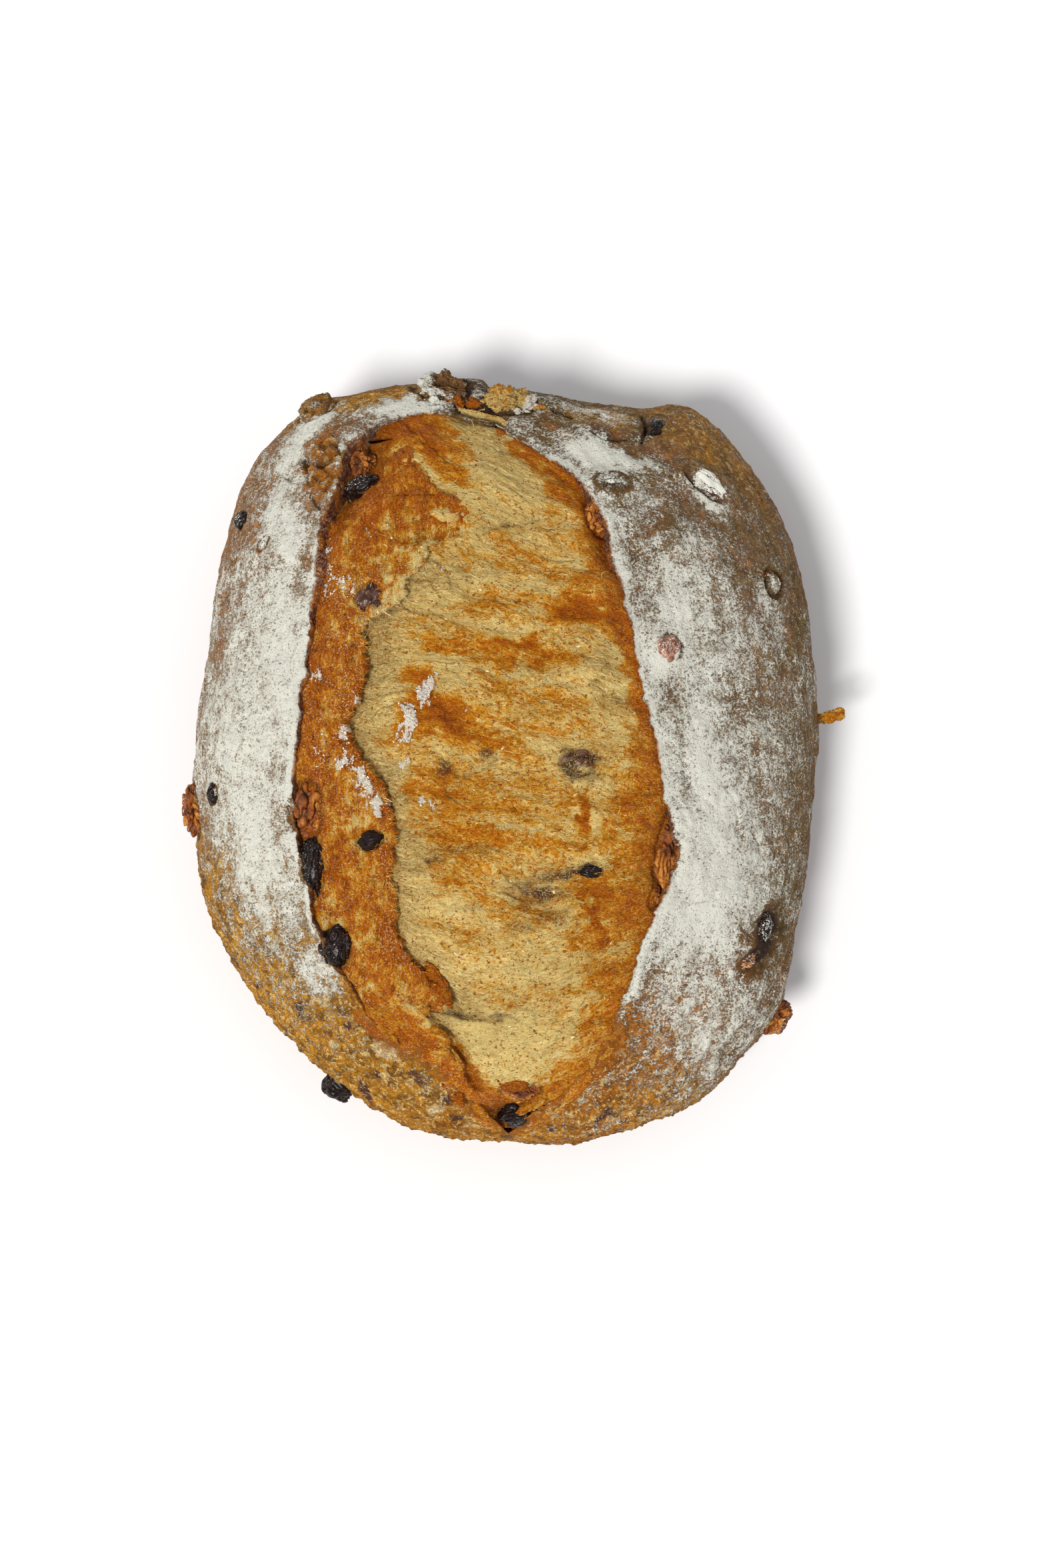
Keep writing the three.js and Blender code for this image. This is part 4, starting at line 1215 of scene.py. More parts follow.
def make_crumb():
    """The torn crumb as two slabs that share the line down the middle."""
    loop = np.vstack([rim_left[:-1], rim_right[:-1]])
    xs = np.arange(-66, 57, CRUMB_GRAIN)
    ys = np.arange(-117, 104, CRUMB_GRAIN)
    x, y = np.meshgrid(xs, ys)
    away, _ = distance(loop[np.r_[0 : len(loop), 0]], x, y)
    from_lip = np.where(inside(loop, x, y), away, -away)
    keep = (from_lip > -CRUMB_TUCK) & (dome_share(x, y) < CRUMB_LIMIT)
    height, facts, along, across = crumb_surface(x, y, from_lip)
    points = np.stack([x, y, height], -1)
    normals = grid_normals(points)
    normals *= np.sign(normals[..., 2:])
    flow = np.stack([along, across, height], -1)
    inner = rise(from_lip, 1, 3)
    past, _ = distance(torn_edge[::3], x, y)
    bank = bell(past - 2.5, 3.0) * (x > torn_place(y)) * rise(step_height(y), 0.8, 3)
    SURFACES["crumb"] = {
        "points": points, "toast": facts["toast"], "bank": bank * inner, "open": inner,
        "clots": inner * (facts["flour"] + 0.2) + 0.00004 * inner,
    }
    middle = np.searchsorted(xs, SPINE_X)
    for name, columns in (("crumb_left", slice(0, middle + 1)), ("crumb_right", slice(middle, None))):
        part = (slice(None), columns)
        kept_facts = {key: values[part] for key, values in facts.items()}
        slab(name, points[part], normals[part], keep[part], kept_facts, flow[part])


def slab(name, points, normals, keep, facts, flow):
    """A closed slab under the kept part of a grid, with a flat bottom inside the loaf."""
    rows, columns = keep.shape
    faces = quads(rows, columns)
    faces = faces[keep.reshape(-1)[faces].all(1)]
    used, faces = np.unique(faces, return_inverse=True)
    faces = faces.reshape(-1, 4)
    top = points.reshape(-1, 3)[used]
    edges = np.concatenate([faces[:, [k, (k + 1) % 4]] for k in range(4)])
    paired = set(map(tuple, edges.tolist()))
    border = [(a, b) for a, b in edges.tolist() if (b, a) not in paired]
    follow = dict(border)
    loop = [border[0][0]]
    while follow[loop[-1]] != loop[0]:
        loop.append(follow[loop[-1]])
    if len(loop) != len(border):
        raise RuntimeError(f"{name} has more than one edge")
    count, turns = len(top), len(loop)
    bottom = top[loop].copy()
    bottom[:, 2] = SLAB_BOTTOM
    walls = [[loop[k], count + k, count + (k + 1) % turns, loop[(k + 1) % turns]] for k in range(turns)]
    floor = [count + k for k in range(turns)]
    low, high = top[:, :2].min(0), top[:, :2].max(0)
    uv = np.concatenate([UV_EDGE + 0.976 * (top[:, :2] - low) / (high - low), np.full((turns, 2), 0.99)])
    below = np.concatenate([used, used[loop]])
    lean = np.concatenate([normals.reshape(-1, 3)[used], np.tile([0, 0, -1.0], (turns, 1))])
    facts = {key: values.reshape(-1)[below] for key, values in facts.items()}
    make_piece(
        name, np.concatenate([top, bottom]), faces.tolist() + walls + [floor], crumb_look,
        facts, flow.reshape(-1, 3)[below], uv, lean, stands_for=("loaf",),
    )


make_crumb()

# ---- the toasted shelf
SHELF_TOAST = [
    (-38, 76, 16, 12, 50, 0.35), (-55, 0, 3, 40, 0, 0.5), (-51, 50, 4, 14, 0, 0.45),
    (-25, -65.5, 10, 2.4, -46, 0.8), (-46, -40, 4, 14, 14, 0.35), (-33, -56, 3, 9, 8, 0.4),
    (-44, 8, 2.5, 14, 4, 0.25), (-40, 60, 5, 8, 0, 0.25), (-18, 66, 10, 6, -20, 0.25),
    (-53, 55, 3, 20, 0, 0.25), (-48, 12, 8, 14, 0, 0.15), (-40, -24, 7, 8, 0, -0.25),
    (-30, 62, 8, 6, 0, -0.15), (-50, 30, 6, 12, 0, 0.1),
]
SHELF_FLOUR = [
    (-54.7, 18.5, 3, 1.6, -30, 0.9), (-46, 1, 2, 4, 20, 0.9), (-45, -7, 3, 3, 0, 0.9),
    (-38, -16, 3, 6, 20, 1.0), (-42, -11, 2, 3, 0, 0.7), (-35.5, -21, 2, 3, 0, 0.9),
    (-46, 44, 3, 5, 0, 0.35), (-51, 50, 2, 10, 0, 0.35), (-53, -4, 2, 6, 0, 0.4), (-36, 60, 6, 4, 0, 0.3),
    (-42, 10, 2, 3, 30, 0.5), (-52, -22, 2, 2, 0, 0.5),
]
TORN_LOOP = [(0.3, 0.2), (0.6, 0.6), (0.85, 1.1), (1.05, 1.7), (1.1, 2.4), (0.8, 3.2), (-0.6, 4.4)]
SHELF_COLUMNS = 100
SHELF_TUCK = 2.6  # how far the shelf runs on under the crust


def make_shelf():
    """The toasted upper layer along the left lip. Its ragged edge overhangs the paler crumb."""
    ys = np.arange(91, -78, -SHELF_GRAIN)
    line = rim_left[np.argsort(rim_left[:, 1], kind="stable")]
    line = line[line[:, 0] < -16]
    left = np.interp(ys, line[:, 1], line[:, 0]) - SHELF_TUCK
    ragged = 1.5 * relief_a(ys / 2.6, 0.1) + 0.7 * relief_b.layers(ys / 0.9, 3.3, count=2)
    ragged = ragged + 1.3 * relief_c(ys / 7, 9.9)
    right = np.maximum(torn_place(ys) + ragged, left + 4)
    share = np.linspace(0, 1, SHELF_COLUMNS) ** 0.9
    x = left[:, None] + (right - left)[:, None] * share
    y = np.broadcast_to(ys[:, None], x.shape)
    from_lip, _ = distance(rim_left, x, y)
    from_lip = np.where(x < left[:, None] + SHELF_TUCK, -from_lip, from_lip)
    from_edge = right[:, None] - x
    rough = relief_b.layers(x / 4.4, y / 9, 2.2) * 1.1
    rough = rough + relief_c.layers(x / 1.1, y / 2.6, 4.1, count=2) * 0.3
    pits = 0.8 * rise(relief_d(x / 2.2, y / 3.6, 1.2), 0.4, 0.8)
    rough += 0.34 * relief_a.ridges(x / 1.6, y / 5, 8.2) - pits
    rough += 0.3 * rise(relief_c(x / 3.2, y / 4.4, 6.6), 0.3, 0.5)
    height = dome(x, y) - lip_drop(x, y) * (1 - rise(from_lip, 0, CRUMB_SWELL))
    height = height + rough * rise(from_lip, -1, 2)
    height -= spots(x, y, HOLLOWS) * rise(from_lip, -3, 0.5)
    near_end = ys[-1] + 0.25 * (x[:, -1:] - x)
    ends = rise(np.minimum(ys[0] - y, y - near_end), 0, SHELF_SINK)
    height += 0.5 * bell(from_edge, 2.5) * ends - 1.6 * (1 - ends)
    _, groove, ring = around_lumps(x, y, height)
    height -= 0.9 * groove
    clots = clumps(x, y, spots(*warped(x, y, 4, 1.5), SHELF_FLOUR))
    height += 0.4 * clots
    top = np.stack([x, y, height], -1)
    step = np.maximum(step_height(ys), 0.6) / 3.4
    torn = []
    for out, below in TORN_LOOP:
        jag = relief_d(ys / 0.8, below, 7.0) * 0.4
        torn.append(np.stack([right + out * 1.1 + jag, ys, height[:, -1] - below * step], -1))
    outer = np.stack([right - 3, ys, height[:, -1] - 8], -1)
    inner = np.stack([left + 1, ys, height[:, 0] - 7], -1)
    shell = np.concatenate([top, np.stack(torn + [outer, inner], 1)], 1)
    extra = shell.shape[1] - SHELF_COLUMNS
    flat = shell.reshape(-1, 3)
    fx, fy = flat[:, 0], flat[:, 1]

    def whole(grid, mode="edge"):
        return np.pad(grid, ((0, 0), (0, extra)), mode=mode).reshape(-1)

    under = np.zeros(shell.shape[:2])
    under[:, SHELF_COLUMNS:] = 1
    under[:, SHELF_COLUMNS : SHELF_COLUMNS + len(TORN_LOOP)] = np.linspace(0.0, 1, len(TORN_LOOP)) ** 0.7
    under = under.reshape(-1)
    hollow = rise(spots(fx, fy, HOLLOWS), 1.5, 4)
    toast = 0.6 + 0.85 * relief_a.layers(fx / 3.6, fy / 4.6, 1.9, gain=0.6)
    toast = np.where(toast < 0.5, 0.5 + 0.7 * (toast - 0.5), toast)
    toast = toast + spots(fx, fy, SHELF_TOAST) + 0.3 * hollow
    melt = rise(fy, 30, 36) * (1 - rise(fy, 58, 64))
    edge_noise = whole(from_edge, "constant") + 2.0 * relief_d.layers(fx / 4, fy / 4, 5.1)
    toast -= 0.75 * melt * (1 - rise(edge_noise, 0.5, 7))
    brim = 0.3 * (1 - melt) * bell(whole(from_edge, "constant"), 2.0)
    toast += brim + 0.3 * np.clip(whole(rough), -0.5, 0.5) - 0.8 * under
    # Painted shadow of the crust's lip on the shelf, a dark line along the lip
    lip_shadow = 0.35 * (1 - rise(whole(from_lip), 0, 1.5)) * (1 - under)
    dusted = (0.7 + 0.3 * rise(fy, -30, 0) + 0.6 * relief_c(fx / 6, fy / 9, 3.6)) * (1 - under)
    facts = {
        "toast": toast,
        "pale": under * 0.9,
        "flour": 1.2 * whole(clots) - 0.2,
        "salt": dusted * (1 - 0.6 * hollow) * (1 - 0.65 * rise(fy, 45, 60)),
        # low is painted shade: low relief, the hollows and the underside of the torn edge
        "low": np.clip(-whole(rough) * 0.5, 0, 1) + 0.7 * hollow + 0.2 * under,
        # Scorch with painted shade in the rings round the lumps, and the painted shadow along the lip
        "burn": 0.6 * whole(ring * (groove > 0.3)) + lip_shadow,
    }
    flow = np.stack([fy * 0.7 + fx * 0.2, fx * 1.1 + 0.8 * relief_a(fx / 6, fy / 9), flat[:, 2]], -1)
    inner = rise(from_lip, 1, 3) * ends
    SURFACES["shelf"] = {
        "points": top, "toast": toast.reshape(shell.shape[:2])[:, :SHELF_COLUMNS],
        "edge": bell(from_edge, 0.7) * inner * rise(step_height(y), 0.5, 2), "open": inner,
        "clots": inner * clots + 0.001 * inner,
    }
    lean = grid_normals(np.concatenate([top, np.stack(torn, 1)], 1))
    lean *= np.sign(lean[len(ys) // 2, 20, 2])
    lean = np.pad(lean, ((0, 0), (0, 2), (0, 0)), mode="edge").reshape(-1, 3)
    make_piece(
        "toasted_shelf", flat, tube_faces(shell), crumb_look, facts, flow,
        flat_uv(*shell.shape[:2]), lean, stands_for=("loaf",),
    )


make_shelf()


# ---- raisins, walnuts and the tuft
def ball(fineness):
    """Places and faces of a fine ball."""
    build = bmesh.new()
    bmesh.ops.create_icosphere(build, subdivisions=fineness, radius=1)
    places = np.array([v.co[:] for v in build.verts])
    faces = [[v.index for v in face.verts] for face in build.faces]
    build.free()
    return places, faces


BALLS = {"small": ball(5), "large": ball(6)}
LARGE_LUMP = 4.6  # half-length in millimetres from which a lump is made finely


def lump_ball(lump):
    return BALLS["large" if lump.half.max() > LARGE_LUMP else "small"]


def place_lump(lump, unit):
    return lump.middle + (unit * lump.half) @ lump.axes


def sampled(p, along, across, shift=0.0):
    """A ball's places scaled along its length and across it, and shifted, to read relief there."""
    return p[:, 0] * along + shift, p[:, 1] * across, p[:, 2] * across


def seated(lump, unit, radius):
    """A lump's places, trimmed and let down into the loaf as far as its name asks."""
    radius = radius * TRIMMED.get(lump.name, 1)
    return place_lump(lump, unit * radius[:, None]) - np.array([0, 0, SUNK.get(lump.name, 0)])


RAISIN_DUST = {
    "raisin_bump_right": 0.5, "raisin_shoulder_right": 0.75, "raisin_shelf_round": 0.15,
    "fruit_lip_right": 0.3, "raisin_flank_right": 0.3, "raisin_side_left_inner": 0.5,
    "raisin_side_left": 0.3, "raisin_heel": 0.05, "raisin_shelf_small": -0.3, "raisin_edge_left": 0.05,
    "raisin_hollow": 0.25, "fruit_crumb": -0.1,
}
RAISIN_BLUSH = {
    "fruit_lip_right": 1.0, "fruit_crumb": 0.35, "raisin_shelf_round": 0.25, "raisin_shoulder_right": 0.3,
}
# How much deeper a lump sits, in millimetres
SUNK = {
    "walnut_lip_right": 1.3, "walnut_lip_right_lower": 1.0, "walnut_lip_left": 1.0, "fruit_crumb": 0.75,
    "raisin_crumb_right": 0.2, "raisin_bump_right": 1.6,
}
TRIMMED = {"walnut_oval_right": 0.84, "raisin_shoulder_right": 0.86}  # lumps that leave a gap in the crust
WALNUT_DUST = {
    "walnut_crown": 0.75, "walnut_oval_right": 0.5, "walnut_shoulder_left": 0.5, "walnut_flank_left": 0.2,
    "walnut_flank_right": 0.2, "walnut_flank_right_low": 0.3,
}


def make_raisin(lump, order):
    """A dried fruit: deep wrinkles along its length, finer ones between."""
    p, faces = lump_ball(lump)
    shift = 3.7 * order
    wide = relief_a(*sampled(p, 0.9, 1.4, shift))
    fold = relief_b(*sampled(p, 1.2, 2.0, shift))
    fine = relief_c(*sampled(p, 3, 5, shift))
    crease = bell(fold, 0.13)
    places = seated(lump, p, 1.08 + 0.26 * wide - 0.14 * crease - 0.05 * np.abs(fine))
    top = rise(p[:, 2], -0.2, 0.9)
    facts = {
        "flour": RAISIN_DUST.get(lump.name, 0.1) * top - 0.3 * crease,
        "blush": np.full(len(p), RAISIN_BLUSH.get(lump.name, 0.03)),
    }
    make_piece(lump.name + "_fruit", places, faces, raisin_look, facts, stands_for=(lump.name,))


def make_walnut(lump, order):
    """A piece of walnut kernel: lobes parted by furrows, papery skin, some faces broken."""
    p, faces = lump_ball(lump)
    shift = 5.3 * order
    lobes = relief_a(*sampled(p, 1.9, 1.9, shift))
    furrow = relief_b(*sampled(p, 2.6, 2.6, shift))
    veins = relief_c.layers(*sampled(p, 5, 5, shift), count=2)
    cut = bell(furrow, 0.15)
    places = seated(lump, p, 1.02 + 0.2 * lobes - 0.26 * cut + 0.05 * veins)
    facts = {
        "flour": WALNUT_DUST.get(lump.name, 0.05) * rise(p[:, 2], -0.2, 0.9),
        "broken": rise(relief_d(*sampled(p, 1.3, 1.3, shift)), 0.0, 0.25),
        # low is painted shade in the furrows
        "low": cut,
    }
    make_piece(lump.name + "_nut", places, faces, walnut_look, facts, stands_for=(lump.name,))


def make_tuft(lump):
    """A torn tuft of crumb with flour on its near right side."""
    p, faces = lump_ball(lump)
    rags = relief_a.layers(*sampled(p, 1.6, 1.6), count=5, gain=0.62)
    places = place_lump(lump, p * (1.0 + 0.46 * rags)[:, None])
    away = places - lump.middle
    dusty = rise(away[:, 0] - 1.4 * away[:, 1] + 3 * rags, 1, 5)
    facts = {
        "toast": -0.05 + 0.5 * rags, "pale": np.full(len(p), 0.5), "flour": 1.3 * dusty - 0.3,
        # low is painted shade in the tuft's hollows
        "salt": 0.3 + 0.5 * dusty, "low": np.clip(-1.2 * rags, 0, 1),
    }
    make_piece(
        "torn_tuft", places, faces, crumb_look, facts, flow=places, stands_for=(lump.name,)
    )


def make_covered(lump, flour, paint, rugged):
    """A lump that crust has baked over."""
    p, faces = lump_ball(lump)
    shift = len(lump.name)
    rough = relief_a.layers(p[:, 0] * 1.5, p[:, 1] * 1.5, p[:, 2] * 1.5 + shift, count=5, gain=0.58)
    places = place_lump(lump, p * (1.02 + rugged * rough)[:, None])
    aside = lump.middle - places
    near_left = rise(aside[:, 0] + 0.4 * aside[:, 1] + 3 * rough, -2, 3)
    facts = {
        "flour": flour * (0.2 + 0.8 * near_left) + 0.3 * rough,
        # Painted shade in the lump's low places
        "burn": 0.85 * rise(-rough, 0.2, 0.6),
        "husk": np.full(len(p), 0.4),
        "paint": mixed(np.tile(np.array(linear(paint)[:3]), (len(p), 1)), BROWN_CRUST, 0.4 + 0.8 * rough),
    }
    make_piece(
        lump.name + "_skin", places, faces, crust_look, facts, flow=places,
        stands_for=(lump.name,),
    )


# Lumps under the crust: flour, the crust's colour and how rough it is
COVERED = {
    "walnut_shoulder_left": (0.4, SHOULDER_CRUST, 0.2),
    "walnut_crown": (0.75, CROWN_CRUST, 0.42),
}

for order, lump in enumerate(lumps.values()):
    if lump.name in COVERED:
        make_covered(lump, *COVERED[lump.name])
    elif lump.name.startswith("walnut"):
        make_walnut(lump, order)
    elif lump.name.startswith("crumb"):
        make_tuft(lump)
    else:
        make_raisin(lump, order)

# ---- bits of crumb and crust that stand off
# ((x, y, height above the dome), half-sizes, degrees turned, curl, toast, flour)
BITS = {
    "side_flake": ((97.6, 12.4, None), (3.0, 1.9, 0.7), 12, 0.3, 0.45, 0.0),
    "side_flake_tip": ((101.0, 13.2, None), (1.7, 1.9, 0.6), 60, 0.2, 0.3, 0.0),
    "shelf_curl": ((-18.6, -70.0, -1.2), (6.4, 1.9, 0.8), -62, 1.8, 1.0, 0.0),
    "far_rag_a": ((-15.5, 103.5, -1.2), (3.4, 2.4, 1.8), 20, 0.0, 1.1, 0.15),
    "far_rag_b": ((-8.5, 103.0, -2.0), (3.0, 2.0, 2.0), -30, 0.4, 1.25, 0.0),
    "far_rag_c": ((10.0, 101.8, -1.2), (3.6, 2.0, 1.6), -12, 0.0, 0.3, 0.6),
    "heel_flake": ((2.4, -97.6, 0.2), (4.4, 2.2, 0.7), -12, 0.8, 1.35, 0.0),
    "heel_rag": ((8.4, -103.6, -0.6), (4.6, 1.6, 0.9), 34, 0.8, 0.5, 0.0),
    "heel_rag_left": ((-8.0, -104.5, -0.4), (4.6, 1.5, 0.9), -48, 0.8, 0.5, 0.0),
    "band_rag": ((-33.5, -83.5, -0.2), (3.6, 1.2, 0.8), -40, 0.6, 0.5, 0.0),
    "heel_flake_left": ((-14.6, -100.2, -0.2), (3.8, 1.8, 0.8), -52, 0.9, 1.25, 0.0),
    "cleft_rag_upper": ((-23.6, -76.0, -0.9), (3.0, 1.3, 0.7), -50, 0.7, 0.35, 0.0),
    "cleft_rag_middle": ((-18.2, -84.0, -0.8), (3.4, 1.2, 0.7), -38, 0.8, 0.5, 0.0),
    "cleft_rag_lower": ((-13.4, -91.6, -0.6), (2.8, 1.2, 0.7), -62, 0.7, 0.3, 0.0),
}
SIDE_LEVEL = 30  # height of the flake that stands out of the side


def make_bit(name, place, half, turn, curl, toast, flour):
    """A rough little flake of crumb, its ends curled up."""
    p, faces = BALLS["small"]
    shift = sum(map(ord, name))
    rough = relief_b.layers(*sampled(p, 1.5, 1.5, shift), count=4, gain=0.6)
    body = p * (1 + 0.4 * rough)[:, None] * np.array(half)
    body[:, 2] += curl * p[:, 0] ** 2
    c, s = math.cos(math.radians(turn)), math.sin(math.radians(turn))
    spin = np.array([[c, s, 0], [-s, c, 0], [0, 0, 1]])
    x, y, above = place
    level = SIDE_LEVEL if above is None else dome(x, y) + above
    places = np.array([x, y, level]) + body @ spin
    facts = {
        "toast": toast + 0.4 * rough, "flour": 1.4 * flour * rise(rough, -0.3, 0.3) - 0.2,
        # low is painted shade in the flake's hollows
        "salt": np.full(len(p), 0.3 + flour), "low": np.clip(-rough, 0, 1),
    }
    make_piece(name, places, faces, crumb_look, facts, flow=places)


for name, shape in BITS.items():
    make_bit(name, *shape)


# ---- loose strands and grains
def strand_finish():
    """Single threads of crumb, from cream to toasted."""
    f = Finish("crumb_strand")
    shade = f.math("ADD", f.fact("shade"), f.window(f.noise(1.2, detail=2), 0.35, 0.65, -0.15, 0.15))
    colour = f.over(LOOSE_CREAM, LOOSE_STRAW, shade, -0.1, 0.35)
    colour = f.over(colour, LOOSE_TOAST, shade, 0.35, 0.85)
    return f.done(colour, f.bump(f.noise(0.3), 0.05), 0.6, specular=0.13)


def grain_finish():
    """Clotted flour."""
    f = Finish("flour_grain")
    colour = f.over(GRAIN_CREAM, CLUMP, f.noise(0.8), 0.4, 0.6)
    return f.done(colour, f.bump(f.noise(0.2), 0.05), 0.85, specular=0.1)


THREAD_RINGS = 5
THREAD_SIDES = 3


def thread_shape(thickness, bend, twist):
    """Rings of places along a tapering thread one unit long, bent to one side and up."""
    t = np.linspace(0, 1, THREAD_RINGS)[:, None]
    turn = np.linspace(0, TAU, THREAD_SIDES, endpoint=False)[None]
    radius = thickness / 2 * (1 - 0.7 * t)
    y = bend * np.sin(math.pi * t) + radius * np.cos(turn)
    z = twist * t * t + radius * np.sin(turn)
    return np.stack([t + 0 * turn, y, z], -1)


def grain_shape(seed):
    """Places and faces of a rough little lump."""
    places, faces = ball(1)
    random = np.random.default_rng(seed)
    return places * (0.3 + 0.5 * random.random((len(places), 1))) * np.array([1, 0.8, 0.5]), faces


def scatter_tree():
    """A tree that puts a collection's shapes on points, turned, sized and chosen by the points' facts."""
    tree = bpy.data.node_groups.new("scatter", "GeometryNodeTree")
    sockets = [
        ("Points", "INPUT", "Geometry"), ("Shapes", "INPUT", "Collection"), ("Finish", "INPUT", "Material"),
        ("Result", "OUTPUT", "Geometry"),
    ]
    for label, way, kind in sockets:
        tree.interface.new_socket(label, in_out=way, socket_type="NodeSocket" + kind)

    def add(kind, **settings):
        node = tree.nodes.new(kind)
        for key, value in settings.items():
            setattr(node, key, value)
        return node

    def fact(name, data_type):
        node = add("GeometryNodeInputNamedAttribute", data_type=data_type)
        node.inputs["Name"].default_value = name
        return node.outputs["Attribute"]

    given = add("NodeGroupInput")
    result = add("NodeGroupOutput")
    shapes = add("GeometryNodeCollectionInfo")
    shapes.inputs["Separate Children"].default_value = True
    shapes.inputs["Reset Children"].default_value = True
    place = add("GeometryNodeInstanceOnPoints")
    place.inputs["Pick Instance"].default_value = True
    turn = add("FunctionNodeEulerToRotation")
    real = add("GeometryNodeRealizeInstances")
    paint = add("GeometryNodeSetMaterial")
    link = tree.links.new
    link(given.outputs["Shapes"], shapes.inputs["Collection"])
    link(given.outputs["Points"], place.inputs["Points"])
    link(shapes.outputs["Instances"], place.inputs["Instance"])
    link(fact("kind", "INT"), place.inputs["Instance Index"])
    link(fact("turn", "FLOAT_VECTOR"), turn.inputs[0])
    link(turn.outputs[0], place.inputs["Rotation"])
    link(fact("size", "FLOAT"), place.inputs["Scale"])
    link(place.outputs["Instances"], real.inputs["Geometry"])
    link(real.outputs["Geometry"], paint.inputs["Geometry"])
    link(given.outputs["Finish"], paint.inputs["Material"])
    link(paint.outputs["Geometry"], result.inputs["Result"])
    return tree


SCATTER = scatter_tree()
SCATTER_FACTS = {
    "turn": ("FLOAT_VECTOR", "vector", np.float32), "size": ("FLOAT", "value", np.float32),
    "kind": ("INT", "value", np.int32), "shade": ("FLOAT", "value", np.float32),
}


def scatter(name, shapes, places, facts, finish):
    """One piece of many small shapes at places in millimetres. facts turn, size, choose and shade each."""
    group = bpy.data.collections.new(name + "_shapes")
    for order, (points, faces) in enumerate(shapes):
        mesh = bpy.data.meshes.new(f"{name}_shape_{order}")
        mesh.from_pydata((points * MM).tolist(), [], faces)
        mesh.shade_smooth()
        group.objects.link(bpy.data.objects.new(f"{name}_shape_{order}", mesh))
    mesh = bpy.data.meshes.new(name + "_points")
    mesh.from_pydata((places * MM).tolist(), [], [])
    for key, (data_type, field, number) in SCATTER_FACTS.items():
        layer = mesh.attributes.new(key, data_type, "POINT")
        layer.data.foreach_set(field, facts[key].astype(number).ravel())
    host = added(name + "_points", mesh)
    modifier = host.modifiers.new("scatter", "NODES")
    modifier.node_group = SCATTER
    names = {item.name: item.identifier for item in SCATTER.interface.items_tree if item.in_out == "INPUT"}
    modifier[names["Shapes"]] = group
    modifier[names["Finish"]] = finish
    evaluated = host.evaluated_get(bpy.context.evaluated_depsgraph_get())
    made = bpy.data.meshes.new_from_object(evaluated)
    made.name = name
    for key in ("turn", "size", "kind"):
        if key in made.attributes:
            made.attributes.remove(made.attributes[key])
    host.modifiers.remove(modifier)
    bpy.data.objects.remove(host)
    for shape in list(group.objects):
        bpy.data.objects.remove(shape)
    bpy.data.collections.remove(group)
    piece = added(name, made)
    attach(piece, "root")


def chosen(weights, count, random):
    """Random places of a grid, more of them where the weights are larger."""
    flat = np.cumsum(weights.ravel())
    return np.searchsorted(flat, random.random(count) * flat[-1])


# Threads' thickness, bend to one side and rise, as shares of their length
THREAD_BENDS = [(0.08, 0.16, 0.1), (0.06, -0.28, 0.2), (0.12, 0.1, -0.06), (0.07, 0.36, 0.02)]
THREAD_FLAKE = np.array([0.55, 0.32, 0.16])  # half-sizes of a flake among the threads
STRAND_COUNTS = {"fuzz": 1700, "crumb": 700, "fringe": 650, "shelf": 400}
FLAKE_SHARE = 0.1  # share of the loose bits that are flakes instead of threads


def strand_shapes():
    """Threads with several bends, then flakes."""
    shapes = []
    for thickness, bend, twist in THREAD_BENDS:
        points = thread_shape(thickness, bend, twist)
        shapes.append((points.reshape(-1, 3), tube_faces(points)))
    for seed in range(3):
        points, faces = grain_shape(seed)
        shapes.append((points * THREAD_FLAKE, faces))
    return shapes


def make_strands():
    random = np.random.default_rng(5)
    crumb, shelf = SURFACES["crumb"], SURFACES["shelf"]
    weights = {
        "fuzz": (crumb, crumb["bank"]),
        "crumb": (crumb, crumb["open"]),
        "fringe": (shelf, shelf["edge"]),
        "shelf": (shelf, shelf["open"]),
    }
    parts = []
    for group, (surface, weight) in weights.items():
        count = STRAND_COUNTS[group]
        pick = chosen(weight, count, random)
        place = surface["points"].reshape(-1, 3)[pick]
        heading = random.normal(0, 0.5, count) + np.where(random.random(count) < 0.5, 0, math.pi)
        pitch = random.uniform(-0.05, 0.3, count)
        length = random.uniform(1.2, 3.2, count)
        shade = np.clip(surface["toast"].ravel()[pick], 0, 1) + random.uniform(-0.25, 0.15, count)
        if group == "fuzz":
            heading = random.uniform(0, TAU, count)
            pitch = random.uniform(0.1, 1.0, count)
            length = random.uniform(0.4, 1.1, count)
        if group == "fringe":
            heading = random.normal(0, 1.0, count)
            pitch = random.uniform(-0.9, 0.25, count)
            length = random.uniform(0.9, 3.2, count)
            shade -= 0.25
        if group == "shelf":
            heading = random.uniform(0, TAU, count)
        parts.append((place, np.stack([random.uniform(0, TAU, count), -pitch, heading], -1), length, shade))
    place, turn, length, shade = (np.concatenate(column) for column in zip(*parts))
    shapes = strand_shapes()
    kind = random.integers(0, len(THREAD_BENDS), len(place))
    flake = random.random(len(place)) < FLAKE_SHARE
    kind[flake] = random.integers(len(THREAD_BENDS), len(shapes), flake.sum())
    facts = {"turn": turn, "size": length, "kind": kind, "shade": shade}
    scatter("crumb_strands", shapes, place, facts, strand_finish())


GRAIN_COUNTS = {"shelf": 700, "crumb": 350}
GRAIN_SPREAD = 0.25  # how far a grain may lie off its clot


def make_grains():
    """Clots of flour standing on the shelf and the crumb."""
    random = np.random.default_rng(9)
    parts = []
    for surface, count in GRAIN_COUNTS.items():
        pick = chosen(SURFACES[surface]["clots"], count, random)
        parts.append(SURFACES[surface]["points"].reshape(-1, 3)[pick])
    place = np.concatenate(parts)
    count = len(place)
    place = place + random.normal(0, GRAIN_SPREAD, (count, 3)) * np.array([1, 1, 0.3])
    turn = random.uniform(0, TAU, (count, 3))
    size = 0.2 + 0.6 * random.random(count) ** 3
    shapes = [grain_shape(seed) for seed in range(4)]
    kind = random.integers(0, len(shapes), count)
    facts = {"turn": turn, "size": size, "kind": kind, "shade": np.zeros(count)}
    scatter("flour_grains", shapes, place, facts, grain_finish())


make_strands()
make_grains()

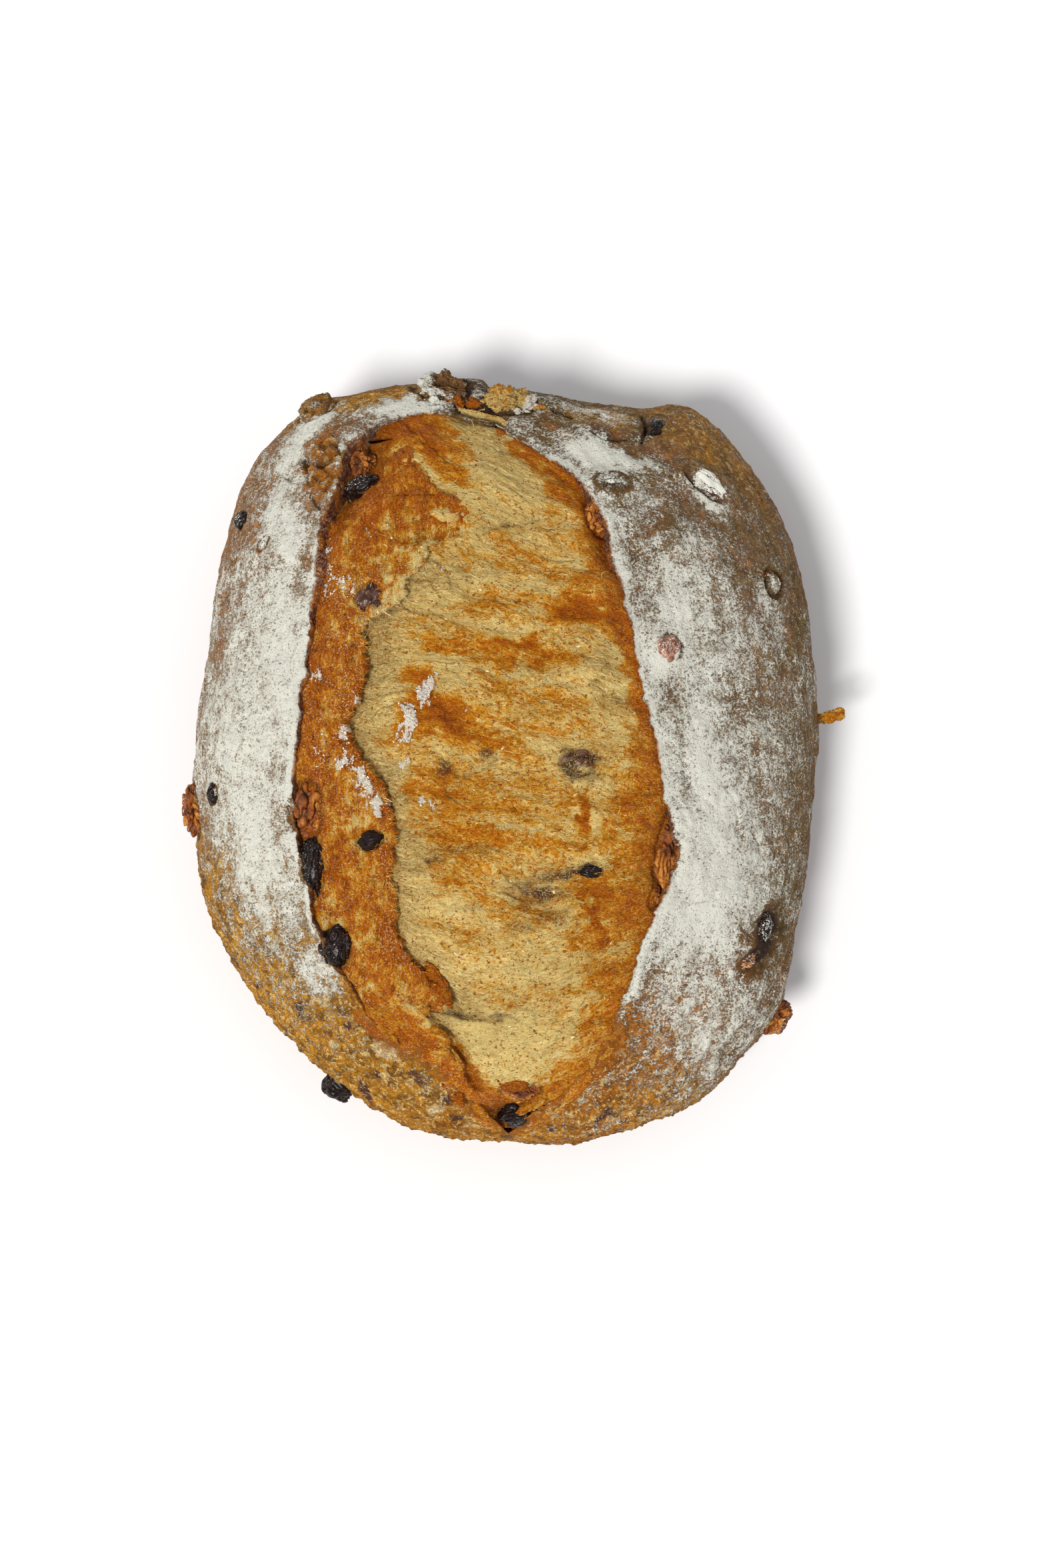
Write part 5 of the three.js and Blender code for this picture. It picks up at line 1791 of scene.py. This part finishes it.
# ---- floor, light and camera
CAMERA_ELEVATION = 83  # degrees above the table
CAMERA_DISTANCE = 784
CAMERA_TARGET = (5.2, -8.55, 35)
KEY_ELEVATION = 60
KEY_AZIMUTH = 232  # degrees from +X, from the near left
KEY_STRENGTH = 2.5
KEY_SPREAD = 15  # degrees across, which softens the shadow's edge
KEY_COLOUR = (1.0, 0.985, 0.96)
SKY_COLOUR = (0.97, 0.98, 1.0, 1)
SKY_STRENGTH = 0.52
LENS = 60
SENSOR_WIDTH = 36
CLIP_END = 20  # metres
FLOOR_SIZE = 6000


def make_floor():
    finish = bpy.data.materials.new("floor")
    finish.use_nodes = True
    shader = finish.node_tree.nodes["Principled BSDF"]
    shader.inputs["Base Color"].default_value = linear(FLOOR_WHITE)
    shader.inputs["Roughness"].default_value = 0.9
    shader.inputs["Specular IOR Level"].default_value = 0.1
    half = FLOOR_SIZE * MM / 2
    corners = [(-half, -half, 0), (half, -half, 0), (half, half, 0), (-half, half, 0)]
    mesh = bpy.data.meshes.new("floor")
    mesh.from_pydata(corners, [], [(0, 1, 2, 3)])
    mesh.materials.append(finish)
    floor = added("floor", mesh)


def make_lights():
    key = bpy.data.lights.new("key", "SUN")
    key.energy = KEY_STRENGTH
    key.angle = math.radians(KEY_SPREAD)
    key.color = KEY_COLOUR
    elevation, azimuth = math.radians(KEY_ELEVATION), math.radians(KEY_AZIMUTH)
    level = math.cos(elevation)
    towards = Vector((level * math.cos(azimuth), level * math.sin(azimuth), math.sin(elevation)))
    added("key", key).rotation_euler = towards.to_track_quat("Z", "Y").to_euler()
    world = bpy.data.worlds.new("studio")
    world.use_nodes = True
    world.node_tree.nodes["Background"].inputs["Color"].default_value = SKY_COLOUR
    world.node_tree.nodes["Background"].inputs["Strength"].default_value = SKY_STRENGTH
    bpy.context.scene.world = world


def make_camera():
    lens = bpy.data.cameras.new("camera")
    lens.lens = LENS
    lens.sensor_width = SENSOR_WIDTH
    lens.clip_end = CLIP_END
    camera = added("camera", lens)
    angle = math.radians(CAMERA_ELEVATION)
    back = Vector((0, -math.cos(angle), math.sin(angle)))
    camera.location = (Vector(CAMERA_TARGET) + back * CAMERA_DISTANCE) * MM
    camera.rotation_euler = (math.radians(90 - CAMERA_ELEVATION), 0, 0)
    bpy.context.scene.camera = camera


make_floor()
make_lights()
make_camera()
bpy.context.scene.view_settings.view_transform = "Standard"
